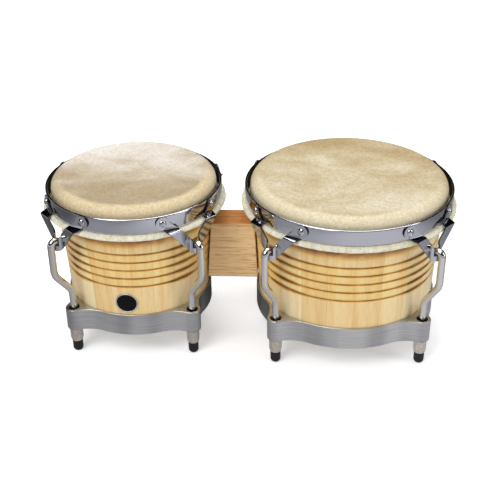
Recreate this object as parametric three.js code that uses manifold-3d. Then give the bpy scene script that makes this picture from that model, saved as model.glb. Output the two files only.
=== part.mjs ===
// A pair of bongo drums: two flared wooden shells joined by a wooden centre block. Each shell stands
// in a cast aluminium ring and carries a hide head, which a steel rim draws down with four hooked rods
// and nuts. The rods end in rubber tips, on which the pair stands.
// Lengths are in millimetres. +Z is up, +X runs from the small drum to the large one, the side with
// the badge plate is -Y, and the origin is on the floor below the middle of the whole pair.

import * as THREE from 'three';
import { mergeVertices } from 'three/addons/utils/BufferGeometryUtils.js';
import Module from 'manifold-3d';

const wasm = await Module();
wasm.setup();

// Fits
const gap = 0.3; // air left between two pieces that touch
const cutOver = 1.5; // how far a cut runs past the face it opens
const tuningTravel = 3; // how far the rim is drawn down from rest to full tension

// The two drums
// flare: how much narrower the shell is at its foot; topGrooveLift: highest groove above the shell's foot;
// ringTurn: degrees by which rim and casting are turned
const smallDrum = {
  label: 'small', headRadius: 92.1, flare: 10, topGrooveLift: 100.6, ringTurn: -0.2, inward: 1,
};
const largeDrum = {
  label: 'large', headRadius: 109.5, flare: 7.5, topGrooveLift: 98.9, ringTurn: 1.1, inward: -1,
};
const lugsPerDrum = 4;
const ringSides = 36;

// Feet and nuts
const rodRadius = 3.97;
const tipHeight = 14;
const tipRadius = 5.8;
const tipFloor = 2.4;
const tipFlatRadius = 2;
const tipRoundHeight = 4.6;
const nutHeight = 16.1;
const nutAcrossFlats = 12.7;
const nutChamfer = 1.1;
const nutRestTurns = { small: [8, 47, 30, 0], large: [21, 5, 15, 30] }; // degrees, as tightened
const nutBoreRadius = rodRadius + gap;

// Bottom casting
const bossRadius = 9.5;
const bossDrop = 1.2; // how far a boss reaches below the ring
const bossFootInset = 1; // how much slimmer the boss is below the ring
const bossCupRadius = 6.25; // wide bore from the top
const bossBoreRadius = 4.8; // narrow bore under it, which the nut closes
const bossFloor = 9; // depth of the narrow bore
const bossStandOff = 11.4; // from the ring's outside to the middle of a boss
const webFilletRadius = 40;
const castingHeight = 26.2;
const castingWall = 1.9;
const ledgeThickness = 3.8;
const ledgeWidth = 9.5;
const webSteps = 3;
const bossSteps = 7;
const ringArcSteps = 5;
const bossSides = 12;

// Wooden shell
const shellHeight = 157.2;
const shellWall = 11;
const crestWidth = 0.8; // flat left inside the rounded bearing edge
const shoulderRadius = shellWall - crestWidth;
const shoulderSteps = 3;
const flarePower = 1.65;
const grooveCount = 5;
const grooveWidth = 2.6;
const grooveDepth = 1.5;
const groovePitch = 10.5;

// Head: hide, flesh hoop and the hide rolled round it
const skinThickness = 1.5;
const skirtOverlap = 2.2; // hide left behind the roll at full tension
const rollHalfWidth = 4.9;
const rollHeight = 7;
const rollWall = 1.2;
const rollMouthDegrees = 36;
const rollMouthHeading = 205;
const rollSides = 7;
const rollReach = 10.3; // how far the roll stands outside the head
const hoopRadius = 1.9;
const hoopSides = 5;

// Rim
const rimStandOff = 6; // from the head's side to the rim's outside
const rimThickness = 2.5;
const rimDrop = 9; // rim's top edge below the head
const rimHeight = 17.7;
const rimEdgeRadius = 1;

// Claws riveted to the rim
const strapThickness = 1.6;
const rivetOffset = 33; // rivet to the middle of the claw, along the rim
const rivetLift = 1.2; // rivet above the middle of the rim
const strapEndRadius = 7.5;
const strapHalfWidth = 5.6;
const strapSlant = 45;
const shelfDrop = 8.2; // start of the shelf below the rivet
const shelfFall = 1.9;
const shelfLean = 1.4; // how far the strap moves towards the hook along the shelf
const bulgeSteps = 3; // facets from a leg to the front of the bulge that holds the hook's tail
const bulgeDrop = 6; // bulge's lower edge below the middle of the hook's bend
const legFootLift = 0.9; // how much higher its lower edge is where it meets the leg
const legHeadHeight = 12.8; // leg's upper edge at the bulge above the middle of the hook's bend
const bulgeHeadFall = 4;
const rivetShankRadius = 2.1;
const rivetHeadRadius = 4;
const rivetHeadHeight = 2.2;
const rivetTailThickness = 1;
const rivetSides = 8;
const rivetCrownShare = 0.8;
// Shares of the strap's end radius: how far along the strap, and half its width there
const strapEndShares = [[-0.96, 0.28], [-0.7, 0.714], [0, 1]];

// Hooked tuning rods
const rodStandOff = 16; // from the rim's outside to the rod's upper stretch
const hookClearance = 0.5;
const hookTail = 6;
const hookTop = 152; // above the floor
const rodBendRadius = 18;
const upperBendHeight = 106.8;
const lowerBendHeight = 80.3;
const tipSides = 10;
const nutBoreSides = 12;
const rodSides = 8;
const hookSteps = 6;
const bendSteps = 3;

// Centre block and its bolts
const blockLength = 53.6;
const blockDepth = 35;
const blockHeight = 69.6;
const blockSeatShare = 0.405; // share of the spare height between casting and roll that is below the block
const boltRadius = 3.175;
const boltHeadAcrossFlats = 11.1;
const boltHeadHeight = 4.2;
const boltSpacing = 36;
const boltEngagement = 15;
const washerRadius = 8;
const washerThickness = 1.6;
const insertRadius = 5;
const insertLength = 17;
const insertInset = 1.5;
const boltSides = 8;
const ringPieceSides = 12;
const hexSides = 6;

// Badge plate on the small shell
const badgeRadius = 12.5;
const badgeThickness = 1.2;
const badgeLift = 38; // middle of the plate above the shell's foot
const badgeHeading = -92.7;
const badgeSides = 20;

const rad = THREE.MathUtils.degToRad;
const degrees = THREE.MathUtils.radToDeg;
const flatShare = Math.cos(Math.PI / ringSides); // how far out the flats of a many-sided ring lie

// Heights above the floor, from the feet up
const nutFoot = tipHeight + gap;
const bossFoot = nutFoot + nutHeight + gap;
const castingFoot = bossFoot + bossDrop;
const castingTop = castingFoot + castingHeight;
const ledgeTop = castingFoot + ledgeThickness;
const shellFoot = ledgeTop + gap;
const shellTop = shellFoot + shellHeight;
const shoulderFoot = shellTop - shoulderRadius;
const skinUnder = shellTop + gap;
const skinTop = skinUnder + skinThickness;
const rimTop = skinTop - rimDrop;
const rimFoot = rimTop - rimHeight;
const rollTop = rimFoot - gap;
const rollMiddle = rollTop - rollHeight / 2;
const rivetHeight = (rimTop + rimFoot) / 2 + rivetLift;
const spareHeight = rollTop - rollHeight - tuningTravel - castingTop - blockHeight;
const blockFoot = castingTop + spareHeight * blockSeatShare;
const blockMiddle = blockFoot + blockHeight / 2;
const boltHeights = [blockMiddle - boltSpacing / 2, blockMiddle + boltSpacing / 2];
const hookRadius = strapThickness / 2 + hookClearance + rodRadius;
const hookMiddle = hookTop - rodRadius - hookRadius;

// Radii and places of one drum, worked out from its head and foot
function measure(drum) {
  drum.shellTopRadius = drum.headRadius - skinThickness - gap;
  drum.shellFootRadius = drum.shellTopRadius - drum.flare;
  drum.castingRadius = shellRadius(drum, castingTop) + gap + castingWall;
  drum.lowerRodRadius = drum.castingRadius + bossStandOff;
  drum.rimRadius = drum.headRadius + rimStandOff;
  drum.rollRadius = drum.headRadius + rollReach;
  drum.upperRodRadius = drum.rimRadius + rodStandOff;
}

// Outside of the wooden shell at one height: a cylinder below that flares towards the head
function shellRadius(drum, z) {
  const climb = Math.max(0, Math.min(1, (z - shellFoot) / (shoulderFoot - shellFoot)));
  return drum.shellFootRadius + (drum.shellTopRadius - drum.shellFootRadius) * climb ** flarePower;
}

measure(smallDrum);
measure(largeDrum);
const shellsHalf = shellRadius(smallDrum, blockMiddle) + shellRadius(largeDrum, blockMiddle);
const axisSpacing = blockLength + 2 * gap + shellsHalf;
const pairLength = axisSpacing + smallDrum.rollRadius + largeDrum.rollRadius;
smallDrum.x = smallDrum.rollRadius - pairLength / 2;
largeDrum.x = pairLength / 2 - largeDrum.rollRadius;

const materials = {
  wood: new THREE.MeshStandardMaterial({ color: 0xddb56f, roughness: 0.45, metalness: 0 }),
  blockWood: new THREE.MeshStandardMaterial({ color: 0xc99f63, roughness: 0.5, metalness: 0 }),
  castAluminium: new THREE.MeshStandardMaterial({ color: 0x96979a, roughness: 0.42, metalness: 0.9 }),
  chrome: new THREE.MeshStandardMaterial({ color: 0xc4c6ca, roughness: 0.12, metalness: 1 }),
  zinc: new THREE.MeshStandardMaterial({ color: 0xb3aba0, roughness: 0.4, metalness: 0.9 }),
  hide: new THREE.MeshStandardMaterial({ color: 0xddd0ae, roughness: 0.7, metalness: 0 }),
  rolledHide: new THREE.MeshStandardMaterial({ color: 0xe2d9bc, roughness: 0.75, metalness: 0 }),
  rubber: new THREE.MeshStandardMaterial({ color: 0x121214, roughness: 0.7, metalness: 0 }),
  steel: new THREE.MeshStandardMaterial({ color: 0x9a9c9f, roughness: 0.35, metalness: 1 }),
  brass: new THREE.MeshStandardMaterial({ color: 0xb89a56, roughness: 0.35, metalness: 1 }),
  blackEnamel: new THREE.MeshStandardMaterial({ color: 0x141416, roughness: 0.3, metalness: 0.2 }),
};

function part(name, geometry, material) {
  const mesh = new THREE.Mesh(geometry, material.clone());
  mesh.name = name;
  return mesh;
}

// A ring or cap turned about Z from [radius, height] points that close on themselves or on the axis
function turned(profile, sides = ringSides) {
  const points = profile.map(([r, z]) => new THREE.Vector2(r, z));
  const onAxis = profile[0][0] === 0;
  if (!onAxis) points.push(points[0].clone());
  return facingOut(new THREE.LatheGeometry(points, sides).rotateX(Math.PI / 2));
}

function vertexAt(geometry, k) {
  return new THREE.Vector3().fromBufferAttribute(geometry.getAttribute('position'), k);
}

// Turns a closed mesh the right way round, by the sign of its volume
function facingOut(geometry) {
  geometry.deleteAttribute('normal');
  geometry.deleteAttribute('uv');
  const merged = mergeVertices(geometry);
  const index = merged.getIndex().array;
  let volume = 0;
  for (let k = 0; k < index.length; k += 3) {
    const [a, b, c] = [0, 1, 2].map((step) => vertexAt(merged, index[k + step]));
    volume += a.dot(b.cross(c));
  }
  if (volume < 0) {
    for (let k = 0; k < index.length; k += 3) [index[k], index[k + 1]] = [index[k + 1], index[k]];
  }
  merged.computeVertexNormals();
  return merged;
}

function toSolid(geometry) {
  const closed = facingOut(geometry.clone());
  return new wasm.Manifold(new wasm.Mesh({
    numProp: 3,
    vertProperties: new Float32Array(closed.getAttribute('position').array),
    triVerts: new Uint32Array(closed.getIndex().array),
  }));
}

function toGeometry(solid) {
  const mesh = solid.getMesh();
  const geometry = new THREE.BufferGeometry();
  const corners = new Float32Array(mesh.vertProperties);
  geometry.setAttribute('position', new THREE.BufferAttribute(corners, mesh.numProp));
  geometry.setIndex(new THREE.BufferAttribute(new Uint32Array(mesh.triVerts), 1));
  geometry.computeVertexNormals();
  return geometry;
}

// A round bar from one height to another, upright at a place in plan
function uprightBar(radius, low, high, x = 0, y = 0, sides = boltSides) {
  return new THREE.CylinderGeometry(radius, radius, high - low, sides)
    .rotateX(Math.PI / 2)
    .translate(x, y, (low + high) / 2);
}

// A round bar along X from one place to another
function levelBar(radius, from, to, z = 0, sides = boltSides) {
  return new THREE.CylinderGeometry(radius, radius, to - from, sides)
    .rotateZ(Math.PI / 2)
    .translate((from + to) / 2, 0, z);
}

// A point in plan, from its distance to the axis and its bearing
function polar(radius, bearing) {
  return [radius * Math.cos(rad(bearing)), radius * Math.sin(rad(bearing))];
}

// Bearing of one of a drum's lugs, counted from +X
function lugHeading(drum, lug) {
  return (360 / lugsPerDrum) * (lug + 0.5) + drum.ringTurn;
}

// Points of a round stretch in the plane, as [across, up]
function arcPoints(cx, cy, radius, fromDegrees, toDegrees, steps) {
  const points = [];
  for (let k = 0; k <= steps; k += 1) {
    const turn = rad(fromDegrees + ((toDegrees - fromDegrees) * k) / steps);
    points.push([cx + radius * Math.cos(turn), cy + radius * Math.sin(turn)]);
  }
  return points;
}

// Wooden shell: turned grooves outside, a round bearing edge on top, and holes for the block's bolts
function makeShell(drum) {
  const outside = [shellFoot, castingTop].map((z) => [shellRadius(drum, z), z]);
  const halfGroove = grooveWidth / 2;
  for (let k = grooveCount - 1; k >= 0; k -= 1) {
    const middle = shellFoot + drum.topGrooveLift - k * groovePitch;
    outside.push([shellRadius(drum, middle - halfGroove), middle - halfGroove]);
    outside.push([shellRadius(drum, middle) - grooveDepth, middle]);
    outside.push([shellRadius(drum, middle + halfGroove), middle + halfGroove]);
  }
  const nearShoulder = (shellFoot + drum.topGrooveLift + shoulderFoot) / 2;
  outside.push([shellRadius(drum, nearShoulder), nearShoulder]);
  const bend = drum.shellTopRadius - shoulderRadius;
  outside.push(...arcPoints(bend, shoulderFoot, shoulderRadius, 0, 90, shoulderSteps));
  const inside = [shellTop - crestWidth, nearShoulder, blockMiddle, shellFoot];
  outside.push(...inside.map((z) => [shellRadius(drum, z) - shellWall, z]));
  let solid = toSolid(turned(outside));
  for (const z of boltHeights) {
    const reach = drum.headRadius * drum.inward;
    const hole = levelBar(boltRadius + gap, Math.min(0, reach), Math.max(0, reach), z);
    solid = solid.subtract(toSolid(hole));
  }
  return toGeometry(solid);
}

// Plan of the casting: ring arcs, concave webs and round bosses, as one closed outline
function castingOutline(drum) {
  const ring = drum.castingRadius;
  const boss = drum.lowerRodRadius;
  const web = ring + webFilletRadius; // from the drum's axis to the middle of a web's curve
  const reach = bossRadius + webFilletRadius;
  const spread = degrees(Math.acos((web ** 2 + boss ** 2 - reach ** 2) / (2 * web * boss)));
  const lean = degrees(Math.acos((web ** 2 + reach ** 2 - boss ** 2) / (2 * web * reach)));
  const outline = [];
  for (let lug = 0; lug < lugsPerDrum; lug += 1) {
    const heading = lugHeading(drum, lug);
    const [before, after] = [heading - spread, heading + spread];
    const nextWeb = heading + 360 / lugsPerDrum - spread;
    const half = spread + lean;
    const arcs = [
      arcPoints(...polar(web, before), webFilletRadius, before + 180, before + 180 - lean, webSteps),
      arcPoints(...polar(boss, heading), bossRadius, heading - half, heading + half, bossSteps),
      arcPoints(...polar(web, after), webFilletRadius, after + 180 + lean, after + 180, webSteps),
      arcPoints(0, 0, ring, after, nextWeb, ringArcSteps),
    ];
    arcs.forEach((arc) => outline.push(...arc.slice(0, -1)));
  }
  return outline;
}

// Cast ring: it hugs the shell's foot, which stands on an inner ledge, and holds four bored bosses
function makeCasting(drum) {
  const plan = new THREE.Shape(castingOutline(drum).map(([x, y]) => new THREE.Vector2(x, y)));
  const body = new THREE.ExtrudeGeometry(plan, { depth: castingHeight, bevelEnabled: false });
  let solid = toSolid(body.translate(0, 0, castingFoot));
  const footRadius = shellRadius(drum, shellFoot) + gap;
  const seat = turned([
    [0, ledgeTop],
    [footRadius, ledgeTop],
    [shellRadius(drum, castingTop) + gap, castingTop],
    [shellRadius(drum, castingTop) + gap, castingTop + cutOver],
    [0, castingTop + cutOver],
  ]);
  solid = solid.subtract(toSolid(seat));
  const mouth = uprightBar(footRadius - ledgeWidth, castingFoot - cutOver, castingTop, 0, 0, ringSides);
  solid = solid.subtract(toSolid(mouth));
  for (let lug = 0; lug < lugsPerDrum; lug += 1) {
    const [x, y] = polar(drum.lowerRodRadius, lugHeading(drum, lug));
    const boss = uprightBar(bossRadius - bossFootInset, bossFoot, castingTop - cutOver, x, y, bossSides);
    const bore = uprightBar(bossBoreRadius, bossFoot - cutOver, castingTop, x, y, bossSides);
    const cup = uprightBar(bossCupRadius, bossFoot + bossFloor, castingTop + cutOver, x, y, bossSides);
    solid = solid.add(toSolid(boss)).subtract(toSolid(bore)).subtract(toSolid(cup));
  }
  return toGeometry(solid);
}

// Hide head: flat over the drum, round over the bearing edge, with a skirt down behind the rolled edge
function makeSkin(drum) {
  const skirtFoot = rollTop - tuningTravel - skirtOverlap;
  const bend = drum.shellTopRadius - shoulderRadius;
  const outer = shoulderRadius + gap + skinThickness;
  return turned([
    [0, skinTop],
    ...arcPoints(bend, shoulderFoot, outer, 90, 0, shoulderSteps),
    [drum.headRadius, skirtFoot],
    [drum.headRadius - skinThickness, skirtFoot],
    ...arcPoints(bend, shoulderFoot, outer - skinThickness, 0, 90, shoulderSteps),
    [0, skinUnder],
  ]);
}

// The hide's edge rolled round the flesh hoop: an oval sleeve with its mouth towards the shell
function makeRoll(drum) {
  const middle = drum.rollRadius - rollHalfWidth;
  const half = rollMouthDegrees / 2;
  const oval = (wide, high, from, to) => arcPoints(0, 0, 1, from, to, rollSides)
    .map(([x, z]) => [middle + x * wide, rollMiddle + z * high]);
  const [start, end] = [rollMouthHeading + half, rollMouthHeading - half + 360];
  return turned([
    ...oval(rollHalfWidth, rollHeight / 2, start, end),
    ...oval(rollHalfWidth - rollWall, rollHeight / 2 - rollWall, end, start),
  ]);
}

function makeHoop(drum) {
  const middle = drum.rollRadius - rollHalfWidth;
  return turned(arcPoints(middle, rollMiddle, hoopRadius, 0, 360, hoopSides).slice(1));
}

// Steel rim: a band with a rounded top edge, bored for the claws' rivets
function makeRim(drum) {
  const inner = drum.rimRadius - rimThickness;
  const outer = drum.rimRadius;
  const edge = arcPoints(outer - rimEdgeRadius, rimTop - rimEdgeRadius, rimEdgeRadius, 0, 90, 2);
  let solid = toSolid(turned([[outer, rimFoot], ...edge, [inner, rimTop], [inner, rimFoot]]));
  const holeRadius = rivetShankRadius + gap;
  for (let lug = 0; lug < lugsPerDrum; lug += 1) {
    for (const side of [-1, 1]) {
      const bearing = rad(lugHeading(drum, lug)) + side * rivetBearing(drum);
      const hole = levelBar(holeRadius, inner - cutOver, outer + cutOver, rivetHeight, rivetSides);
      solid = solid.subtract(toSolid(hole.rotateZ(bearing)));
    }
  }
  return toGeometry(solid);
}

function rivetBearing(drum) {
  return Math.asin(rivetOffset / drum.rimRadius);
}

// A strap of even thickness folded along lines: each fold is a pair of points on its middle surface
function foldedStrap(folds, thickness) {
  const normals = folds.slice(1).map(([upper, lower], k) => {
    const along = upper.clone().add(lower).sub(folds[k][0]).sub(folds[k][1]);
    const across = folds[k][0].clone().sub(folds[k][1]).add(upper).sub(lower);
    return along.cross(across).normalize();
  });
  const corners = [];
  folds.forEach(([upper, lower], k) => {
    const before = normals[Math.max(0, k - 1)];
    const after = normals[Math.min(normals.length - 1, k)];
    const mitre = before.clone().add(after).multiplyScalar(thickness / 2 / (1 + before.dot(after)));
    corners.push(upper.clone().add(mitre), lower.clone().add(mitre));
    corners.push(lower.clone().sub(mitre), upper.clone().sub(mitre));
  });
  const index = [];
  const quad = (a, b, c, d) => index.push(a, b, c, a, c, d);
  for (let k = 0; k + 1 < folds.length; k += 1) {
    for (let side = 0; side < 4; side += 1) {
      const next = (side + 1) % 4;
      quad(4 * k + side, 4 * k + next, 4 * k + 4 + next, 4 * k + 4 + side);
    }
  }
  quad(3, 2, 1, 0);
  const last = 4 * (folds.length - 1);
  quad(last, last + 1, last + 2, last + 3);
  const geometry = new THREE.BufferGeometry().setFromPoints(corners);
  geometry.setIndex(index);
  return facingOut(geometry);
}

// Claw in the frame of its lug: X outwards from the drum's axis, Y along the rim. A strap runs from a
// riveted end over a shelf, down a leg, round the hook's tail in a half-round bulge, and up to the other
// rivet. The notch between the legs, on which the hook hangs, is cut last.
function makeClaw(drum) {
  const plateRadius = drum.rimRadius + gap + strapThickness / 2;
  const bearing = rivetBearing(drum);
  const onPlate = (along, up) => new THREE.Vector3(
    plateRadius * Math.cos(bearing) - along * Math.sin(bearing),
    plateRadius * Math.sin(bearing) + along * Math.cos(bearing),
    rivetHeight + up,
  );
  const slant = rad(strapSlant);
  const [dx, dz] = [-Math.sin(slant), -Math.cos(slant)];
  const station = (run, half) => [
    onPlate(dx * run + dz * half, dz * run - dx * half),
    onPlate(dx * run - dz * half, dz * run + dx * half),
  ];
  const folds = strapEndShares.map(([run, half]) => station(run * strapEndRadius, half * strapEndRadius));
  const neck = Math.sqrt(strapEndRadius ** 2 - strapHalfWidth ** 2);
  folds.push(station(neck, strapHalfWidth));
  const edgeRun = (half) => (shelfDrop + dx * half) / -dz;
  const shelfStart = [-strapHalfWidth, strapHalfWidth].map((half) => {
    const run = edgeRun(half);
    return onPlate(dx * run - dz * half, -shelfDrop);
  });
  folds.push(shelfStart);
  const legs = drum.upperRodRadius - 2 * hookRadius;
  folds.push(shelfStart.map(({ y, z }) => new THREE.Vector3(legs, y - shelfLean, z - shelfFall)));
  const crest = legs + hookRadius;
  const low = hookMiddle - bulgeDrop;
  const high = hookMiddle + legHeadHeight;
  const upright = ([x, y], foot, top) => [new THREE.Vector3(x, y, top), new THREE.Vector3(x, y, foot)];
  const [beside, ...bulge] = arcPoints(legs, 0, hookRadius, 90, 0, bulgeSteps);
  folds.push(upright(beside, low + legFootLift, high));
  folds.push(...bulge.map((place) => upright(place, low, high - bulgeHeadFall)));
  const flip = new THREE.Vector3(1, -1, 1);
  const mirrored = folds.slice(0, -1).map((pair) => pair.map((point) => point.clone().multiply(flip)));
  let solid = toSolid(foldedStrap([...folds, ...mirrored.reverse()], strapThickness));
  const notch = new THREE.BoxGeometry(2 * hookRadius, 2 * (rodRadius + hookClearance), 2 * legHeadHeight)
    .translate(crest, 0, hookMiddle + hookClearance + legHeadHeight);
  solid = solid.subtract(toSolid(notch));
  for (const side of [-1, 1]) solid = solid.add(toSolid(makeRivet(drum).rotateZ(side * bearing)));
  return toGeometry(solid);
}

// Rivet along X: a domed head on the strap, a shank through the rim and a flat tail behind it
function makeRivet(drum) {
  const face = drum.rimRadius + gap + strapThickness;
  const back = (drum.rimRadius - rimThickness) * flatShare - gap;
  const profile = [
    [0, back - rivetTailThickness],
    [rivetHeadRadius, back - rivetTailThickness],
    [rivetHeadRadius, back],
    [rivetShankRadius, back],
    [rivetShankRadius, face - strapThickness / 2],
    [rivetHeadRadius, face - strapThickness / 2],
    [rivetShankRadius, face + rivetHeadHeight * rivetCrownShare],
    [0, face + rivetHeadHeight],
  ];
  return turned(profile, rivetSides).rotateY(Math.PI / 2).translate(0, 0, rivetHeight);
}

// Stations along a bent rod in the plane of its lug, kept where the bends need them
class BentRod extends THREE.Curve {
  constructor(stations) {
    super();
    this.stations = stations;
  }

  getPoint(share) {
    return this.stations[Math.round(share * (this.stations.length - 1))].clone();
  }

  getPointAt(share) {
    return this.getPoint(share);
  }

  getTangentAt(share) {
    const k = Math.round(share * (this.stations.length - 1));
    const ahead = this.stations[Math.min(k + 1, this.stations.length - 1)].clone().sub(this.stations[k]);
    const behind = this.stations[k].clone().sub(this.stations[Math.max(k - 1, 0)]);
    return ahead.normalize().add(behind.normalize()).normalize();
  }
}

// Hooked rod in the frame of its lug, from the hook's tail behind the claw to its end in the rubber tip
function makeHook(drum) {
  const upper = drum.upperRodRadius;
  const lower = drum.lowerRodRadius;
  const slope = Math.atan2(upperBendHeight - lowerBendHeight, upper - lower);
  const turn = degrees(Math.PI / 2 - slope);
  const tangent = rodBendRadius * Math.tan(rad(turn / 2));
  const [upperZ, lowerZ] = [upperBendHeight + tangent, lowerBendHeight - tangent];
  const path = [
    [upper - 2 * hookRadius, hookMiddle - hookTail],
    ...arcPoints(upper - hookRadius, hookMiddle, hookRadius, 180, 0, hookSteps),
    ...arcPoints(upper - rodBendRadius, upperZ, rodBendRadius, 0, -turn, bendSteps),
    ...arcPoints(lower + rodBendRadius, lowerZ, rodBendRadius, 180 - turn, 180, bendSteps),
    [lower, tipFloor + gap],
  ].map(([x, z]) => new THREE.Vector3(x, 0, z));
  const section = new THREE.Shape(arcPoints(0, 0, rodRadius, 0, 360, rodSides).slice(1)
    .map(([x, y]) => new THREE.Vector2(x, y)));
  const steps = path.length - 1;
  return facingOut(new THREE.ExtrudeGeometry(section, { steps, extrudePath: new BentRod(path) }));
}

// Long hex nut under a boss
function makeNut() {
  const corner = nutAcrossFlats / 2 / Math.cos(rad(30));
  const blank = turned([
    [0, nutFoot],
    [corner - nutChamfer, nutFoot],
    [corner, nutFoot + nutChamfer],
    [corner, nutFoot + nutHeight],
    [0, nutFoot + nutHeight],
  ], hexSides);
  const [low, high] = [nutFoot - cutOver, nutFoot + nutHeight + cutOver];
  const bore = uprightBar(nutBoreRadius, low, high, 0, 0, nutBoreSides);
  return toGeometry(toSolid(blank).subtract(toSolid(bore)));
}

// Rubber cap pushed on the end of a rod, with a small flat to stand on
function makeTip() {
  return turned([
    [0, 0],
    [tipFlatRadius, 0],
    ...arcPoints(0, 0, 1, -90, 0, 2).slice(1).map(([x, z]) => [
      tipFlatRadius + x * (tipRadius - tipFlatRadius),
      tipRoundHeight + z * tipRoundHeight,
    ]),
    [tipRadius, tipHeight],
    [rodRadius + gap, tipHeight],
    [rodRadius + gap, tipFloor],
    [0, tipFloor],
  ], tipSides);
}

// The room a shell takes up, grown by a margin, without its grooves
function shellRoom(drum, margin) {
  const heights = [shellFoot, blockFoot, blockMiddle, blockFoot + blockHeight, shoulderFoot];
  return turned([
    [0, shellFoot],
    ...heights.map((z) => [shellRadius(drum, z) + margin, z]),
    [0, shoulderFoot],
  ]);
}

// Centre block: its ends are straight across but follow the shells' flare in height, and are bored for
// threaded inserts
function makeBlock() {
  const heights = [blockFoot, boltHeights[0], blockMiddle, boltHeights[1], blockFoot + blockHeight];
  const end = (drum) => heights.map((z) => [drum.x + drum.inward * (shellRadius(drum, z) + gap), z]);
  const outline = [...end(smallDrum), ...end(largeDrum).reverse()];
  const side = new THREE.Shape(outline.map(([x, z]) => new THREE.Vector2(x, z)));
  const blank = new THREE.ExtrudeGeometry(side, { depth: blockDepth, bevelEnabled: false });
  let solid = toSolid(blank.rotateX(Math.PI / 2).translate(0, blockDepth / 2, 0));
  for (const drum of [smallDrum, largeDrum]) {
    for (const z of boltHeights) {
      const face = shellRadius(drum, z) + gap;
      const depth = face + insertInset + insertLength + gap;
      const hole = levelBar(insertRadius + gap, face - cutOver, depth, 0, ringPieceSides);
      solid = solid.subtract(toSolid(facing(drum, hole).translate(drum.x, 0, z)));
    }
  }
  return toGeometry(solid);
}

// Turns a shape made along +X so that it points from a drum towards the other one
function facing(drum, geometry) {
  return drum.inward > 0 ? geometry : geometry.rotateZ(Math.PI);
}

// Where a flat washer can lie inside the round shell, from the drum's axis
function washerSeat(drum, z) {
  const inside = shellRadius(drum, z - washerRadius) - shellWall;
  return Math.sqrt(inside ** 2 - washerRadius ** 2) - gap;
}

function makeBolt(drum, z) {
  const head = washerSeat(drum, z) - washerThickness - gap;
  const corner = boltHeadAcrossFlats / 2 / Math.cos(rad(30));
  const headBar = levelBar(corner, head - boltHeadHeight, head, 0, hexSides);
  const end = shellRadius(drum, z) + gap + insertInset + boltEngagement;
  const shank = levelBar(boltRadius, head - boltHeadHeight / 2, end, 0);
  return facing(drum, toGeometry(toSolid(headBar).add(toSolid(shank))));
}

// A flat ring on the X axis between two places
function levelRing(outer, bore, from, to) {
  return toGeometry(toSolid(levelBar(outer, from, to, 0, ringPieceSides))
    .subtract(toSolid(levelBar(bore, from - cutOver, to + cutOver, 0))));
}

function makeWasher(drum, z) {
  const seat = washerSeat(drum, z);
  return facing(drum, levelRing(washerRadius, boltRadius + gap, seat - washerThickness, seat));
}

function makeInsert(drum, z) {
  const face = shellRadius(drum, z) + gap + insertInset;
  return facing(drum, levelRing(insertRadius, boltRadius + gap, face, face + insertLength));
}

// Thin round plate bent to the small shell's side
function makeBadge(drum) {
  const height = shellFoot + badgeLift;
  const bar = levelBar(badgeRadius, 0, drum.headRadius, height, badgeSides);
  return toGeometry(toSolid(bar.rotateZ(rad(badgeHeading)))
    .intersect(toSolid(shellRoom(drum, gap + badgeThickness)))
    .subtract(toSolid(shellRoom(drum, gap))));
}

function buildDrum(drum) {
  const group = new THREE.Group();
  group.position.x = drum.x;
  const { label } = drum;
  group.add(part(`${label}_shell`, makeShell(drum), materials.wood));
  group.add(part(`${label}_bottom_casting`, makeCasting(drum), materials.castAluminium));
  group.add(part(`${label}_skin`, makeSkin(drum), materials.hide));
  group.add(part(`${label}_rolled_edge`, makeRoll(drum), materials.rolledHide));
  group.add(part(`${label}_flesh_hoop`, makeHoop(drum), materials.steel));
  group.add(part(`${label}_rim`, makeRim(drum), materials.chrome));
  const [claw, hook, nut, tip] = [makeClaw(drum), makeHook(drum), makeNut(), makeTip()];
  for (let lug = 0; lug < lugsPerDrum; lug += 1) {
    const corner = new THREE.Group();
    corner.rotation.z = rad(lugHeading(drum, lug));
    const foot = new THREE.Group();
    foot.position.x = drum.lowerRodRadius;
    const number = lug + 1;
    corner.add(part(`${label}_claw_${number}`, claw, materials.chrome));
    corner.add(part(`${label}_hook_rod_${number}`, hook, materials.chrome));
    const tightened = part(`${label}_nut_${number}`, nut, materials.zinc);
    tightened.rotation.z = rad(nutRestTurns[label][lug]);
    foot.add(tightened);
    foot.add(part(`${label}_rubber_tip_${number}`, tip, materials.rubber));
    corner.add(foot);
    group.add(corner);
  }
  boltHeights.forEach((z, k) => {
    const bolt = part(`${label}_block_bolt_${k + 1}`, makeBolt(drum, z), materials.steel);
    const washer = part(`${label}_block_washer_${k + 1}`, makeWasher(drum, z), materials.steel);
    const insert = part(`${label}_block_insert_${k + 1}`, makeInsert(drum, z), materials.brass);
    for (const piece of [bolt, washer, insert]) {
      piece.position.z = z;
      group.add(piece);
    }
  });
  if (drum === smallDrum) group.add(part('badge_plate', makeBadge(drum), materials.blackEnamel));
  return group;
}

const bongos = new THREE.Group();
bongos.add(buildDrum(smallDrum), buildDrum(largeDrum));
bongos.add(part('centre_block', makeBlock(), materials.blockWood));

export default bongos;
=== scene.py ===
import math

import bmesh
import bpy
from mathutils import Matrix, Vector, noise


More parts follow.
